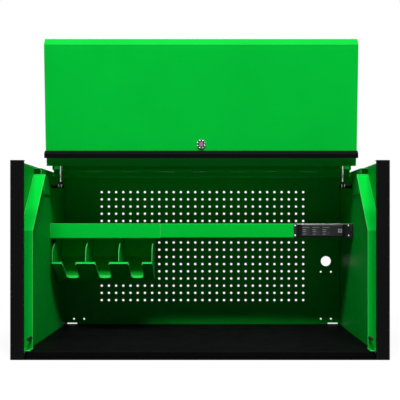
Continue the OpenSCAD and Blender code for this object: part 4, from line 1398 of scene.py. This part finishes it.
    def gland(self, mouth: float) -> None:
        """Makes the sealing gland that the rod runs through.

        Args:
            mouth: Distance of the cylinder's open end from the lower pivot.
        """
        r, h, bore, lip = self.gland_r, self.gland_h, self.rod_r + self.gland_gap, self.gland_lip
        first, second = (r - step for step in self.gland_steps)
        rings = [
            (bore, h), (r, h), (r, -0.3 * h), (first, -0.4 * h), (first, -0.65 * h), (second, -h),
            (bore + lip, -h), (bore, -0.85 * h),
        ]
        gland = turned(f"{self.side.word}_strut_gland", rings, self.end_sides, hollow=True)
        self.fit(gland, SOCKET_BLACK, self.high_body, place=self.place(mouth))

    def build(self) -> None:
        """Dresses the bracket and studs and makes the strut."""
        word = self.side.word
        self.dress(GREEN, f"{word}_strut_bracket")
        self.dress(STRUT_BLACK, f"{word}_strut_wall_stud")
        self.dress(ZINC, f"{word}_strut_lid_stud")
        mouth, end = self.span("strut_cylinder")
        high = end - self.socket_r
        self.rod()
        self.tube(mouth, high - self.end_l)
        self.gland(mouth)
        for spot, distance, body in (("low", 0.0, self.low_body), ("high", high, self.high_body)):
            self.socket(f"{word}_{spot}_socket", distance, spot == "low", body)
            self.clips(f"{word}_{spot}_socket_clips", distance, body)


@dataclass
class Studio:
    """The pale floor, the two soft boxes, the white surround and the camera."""

    eye: Triple = (0.030, -2.4511, 0.3677)
    lens: float = 70.14
    sensor: float = 36.0
    shift: Pair = (-0.0274, 0.0645)
    aim: Triple = (0.0, 0.0, 0.45)
    distance: float = 7.0
    azimuth: float = 14.5
    elevation: float = 53.5
    box_size: float = 1.8
    power: float = 411.0
    balance: float = 0.1
    ambient: float = 0.01
    floor_tone: float = 0.13
    floor_shade: float = 0.99
    floor_cloud: Noise = Noise(1.5)
    floor_gloss: float = 0.9
    floor_specular: float = 0.1
    floor_lift: float = 0.84
    floor_size: float = 14.0
    floor_drop: float = 0.2 * MM
    floor_fade: Pair = (0.75, 1.3)

    def camera(self) -> None:
        """Sets the camera level, at the photograph's place."""
        lens = bpy.data.cameras.new("camera")
        lens.lens = self.lens
        lens.sensor_width = self.sensor
        lens.shift_x, lens.shift_y = self.shift
        camera = bpy.data.objects.new("camera", lens)
        camera.location = self.eye
        camera.rotation_euler = (pi / 2, 0, 0)
        bpy.context.scene.collection.objects.link(camera)
        bpy.context.scene.camera = camera

    def soft_box(self, side: Side) -> None:
        """Hangs one soft box in front of and above a corner of the hutch.

        Args:
            side: Which side.
        """
        a, e = radians(self.azimuth), radians(self.elevation)
        way = Vector((side.value * sin(a) * cos(e), -cos(a) * cos(e), sin(e)))
        light = bpy.data.lights.new(f"{side.word}_soft_box", "AREA")
        light.shape = "SQUARE"
        light.size = self.box_size
        light.energy = self.power * (1 + side.value * self.balance)
        lamp = bpy.data.objects.new(light.name, light)
        lamp.location = Vector(self.aim) + way * self.distance
        lamp.rotation_euler = way.to_track_quat("Z", "Y").to_euler()
        bpy.context.scene.collection.objects.link(lamp)

    def surround(self) -> None:
        """Makes the world white to the camera and in reflections, and dim as a light."""
        world = bpy.data.worlds.new("surround")
        bpy.context.scene.world = world
        graph = Graph(world)
        background = graph.nodes["Background"].inputs
        graph.feed(background["Color"], (1.0, 1.0, 1.0))
        graph.feed(background["Strength"], graph.ranged(graph.seen(), UNIT, (self.ambient, 1.0)))

    def floor(self, height: float) -> None:
        """Lays the pale floor.

        Args:
            height: Height of the object's feet.
        """
        bpy.ops.mesh.primitive_plane_add(size=self.floor_size, location=(0, 0, height - self.floor_drop))
        floor = bpy.context.active_object
        floor.name = "floor"
        settle(floor)
        recipe = Recipe("pale_floor")
        tone = (self.floor_tone,) * 3
        colour = recipe.mix(recipe.spread(self.floor_cloud, UNIT), shaded(tone, self.floor_shade), tone)
        recipe.set(Base_Color=colour, Roughness=self.floor_gloss, Specular_IOR_Level=self.floor_specular)
        self.whiten(recipe)
        floor.data.materials.append(recipe.material)
        floor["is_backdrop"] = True

    def whiten(self, recipe: Recipe) -> None:
        """Lets the camera and reflections see the floor as white, wholly so away from the object.

        Args:
            recipe: The floor's material, whose own colour takes the shadow.
        """
        seen = recipe.seen()
        reach = recipe.add("VectorMath", {0: recipe.place}, operation="LENGTH").outputs["Value"]
        far = recipe.ranged(reach, self.floor_fade, UNIT, interpolation_type="SMOOTHSTEP")
        lift = recipe.add("Emission", {"Strength": recipe.math("MULTIPLY", seen, self.floor_lift)})
        parts = {0: recipe.shader.outputs["BSDF"], 1: lift.outputs["Emission"]}
        lifted = recipe.add("AddShader", parts).outputs["Shader"]
        white = recipe.add("Emission").outputs["Emission"]
        mix = recipe.add("MixShader", {"Fac": recipe.math("MULTIPLY", far, seen), 1: lifted, 2: white})
        recipe.feed(recipe.nodes["Material Output"].inputs["Surface"], mix.outputs["Shader"])

    def build(self, foot: float) -> None:
        """Sets up the whole studio.

        Args:
            foot: Height of the object's feet.
        """
        bpy.context.scene.view_settings.view_transform = "Standard"
        self.camera()
        for side in Side:
            self.soft_box(side)
        self.surround()
        self.floor(foot)
        log.info("the studio stands")


def main() -> None:
    """Builds and dresses each sub-assembly in order, with the floor laid at the height of the model's feet.
    """
    logging.basicConfig(level=logging.INFO, format="%(message)s")
    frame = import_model()
    bpy.ops.object.select_all(action="DESELECT")
    cad_low, cad_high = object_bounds()
    nodes = frame["nodes"]
    joints = {joint["name"]: joint for joint in frame["record"]["behaviour"]["joints"]}
    Studio().build(cad_low.z)
    Carcass(nodes).build()
    Stops(nodes).build()
    ShelfAndHolder(nodes).build()
    PowerStrip(nodes).build()
    Lid(nodes).build()
    CamLock(nodes, joint=joints["lock_turn"]).build()
    for side in Side:
        swing, slide = joints[f"{side.word}_strut_swing"], joints[f"{side.word}_strut_slide"]
        GasStrut(nodes, side=side, swing=swing, slide=slide).build()


if __name__ == "__main__":
    main()
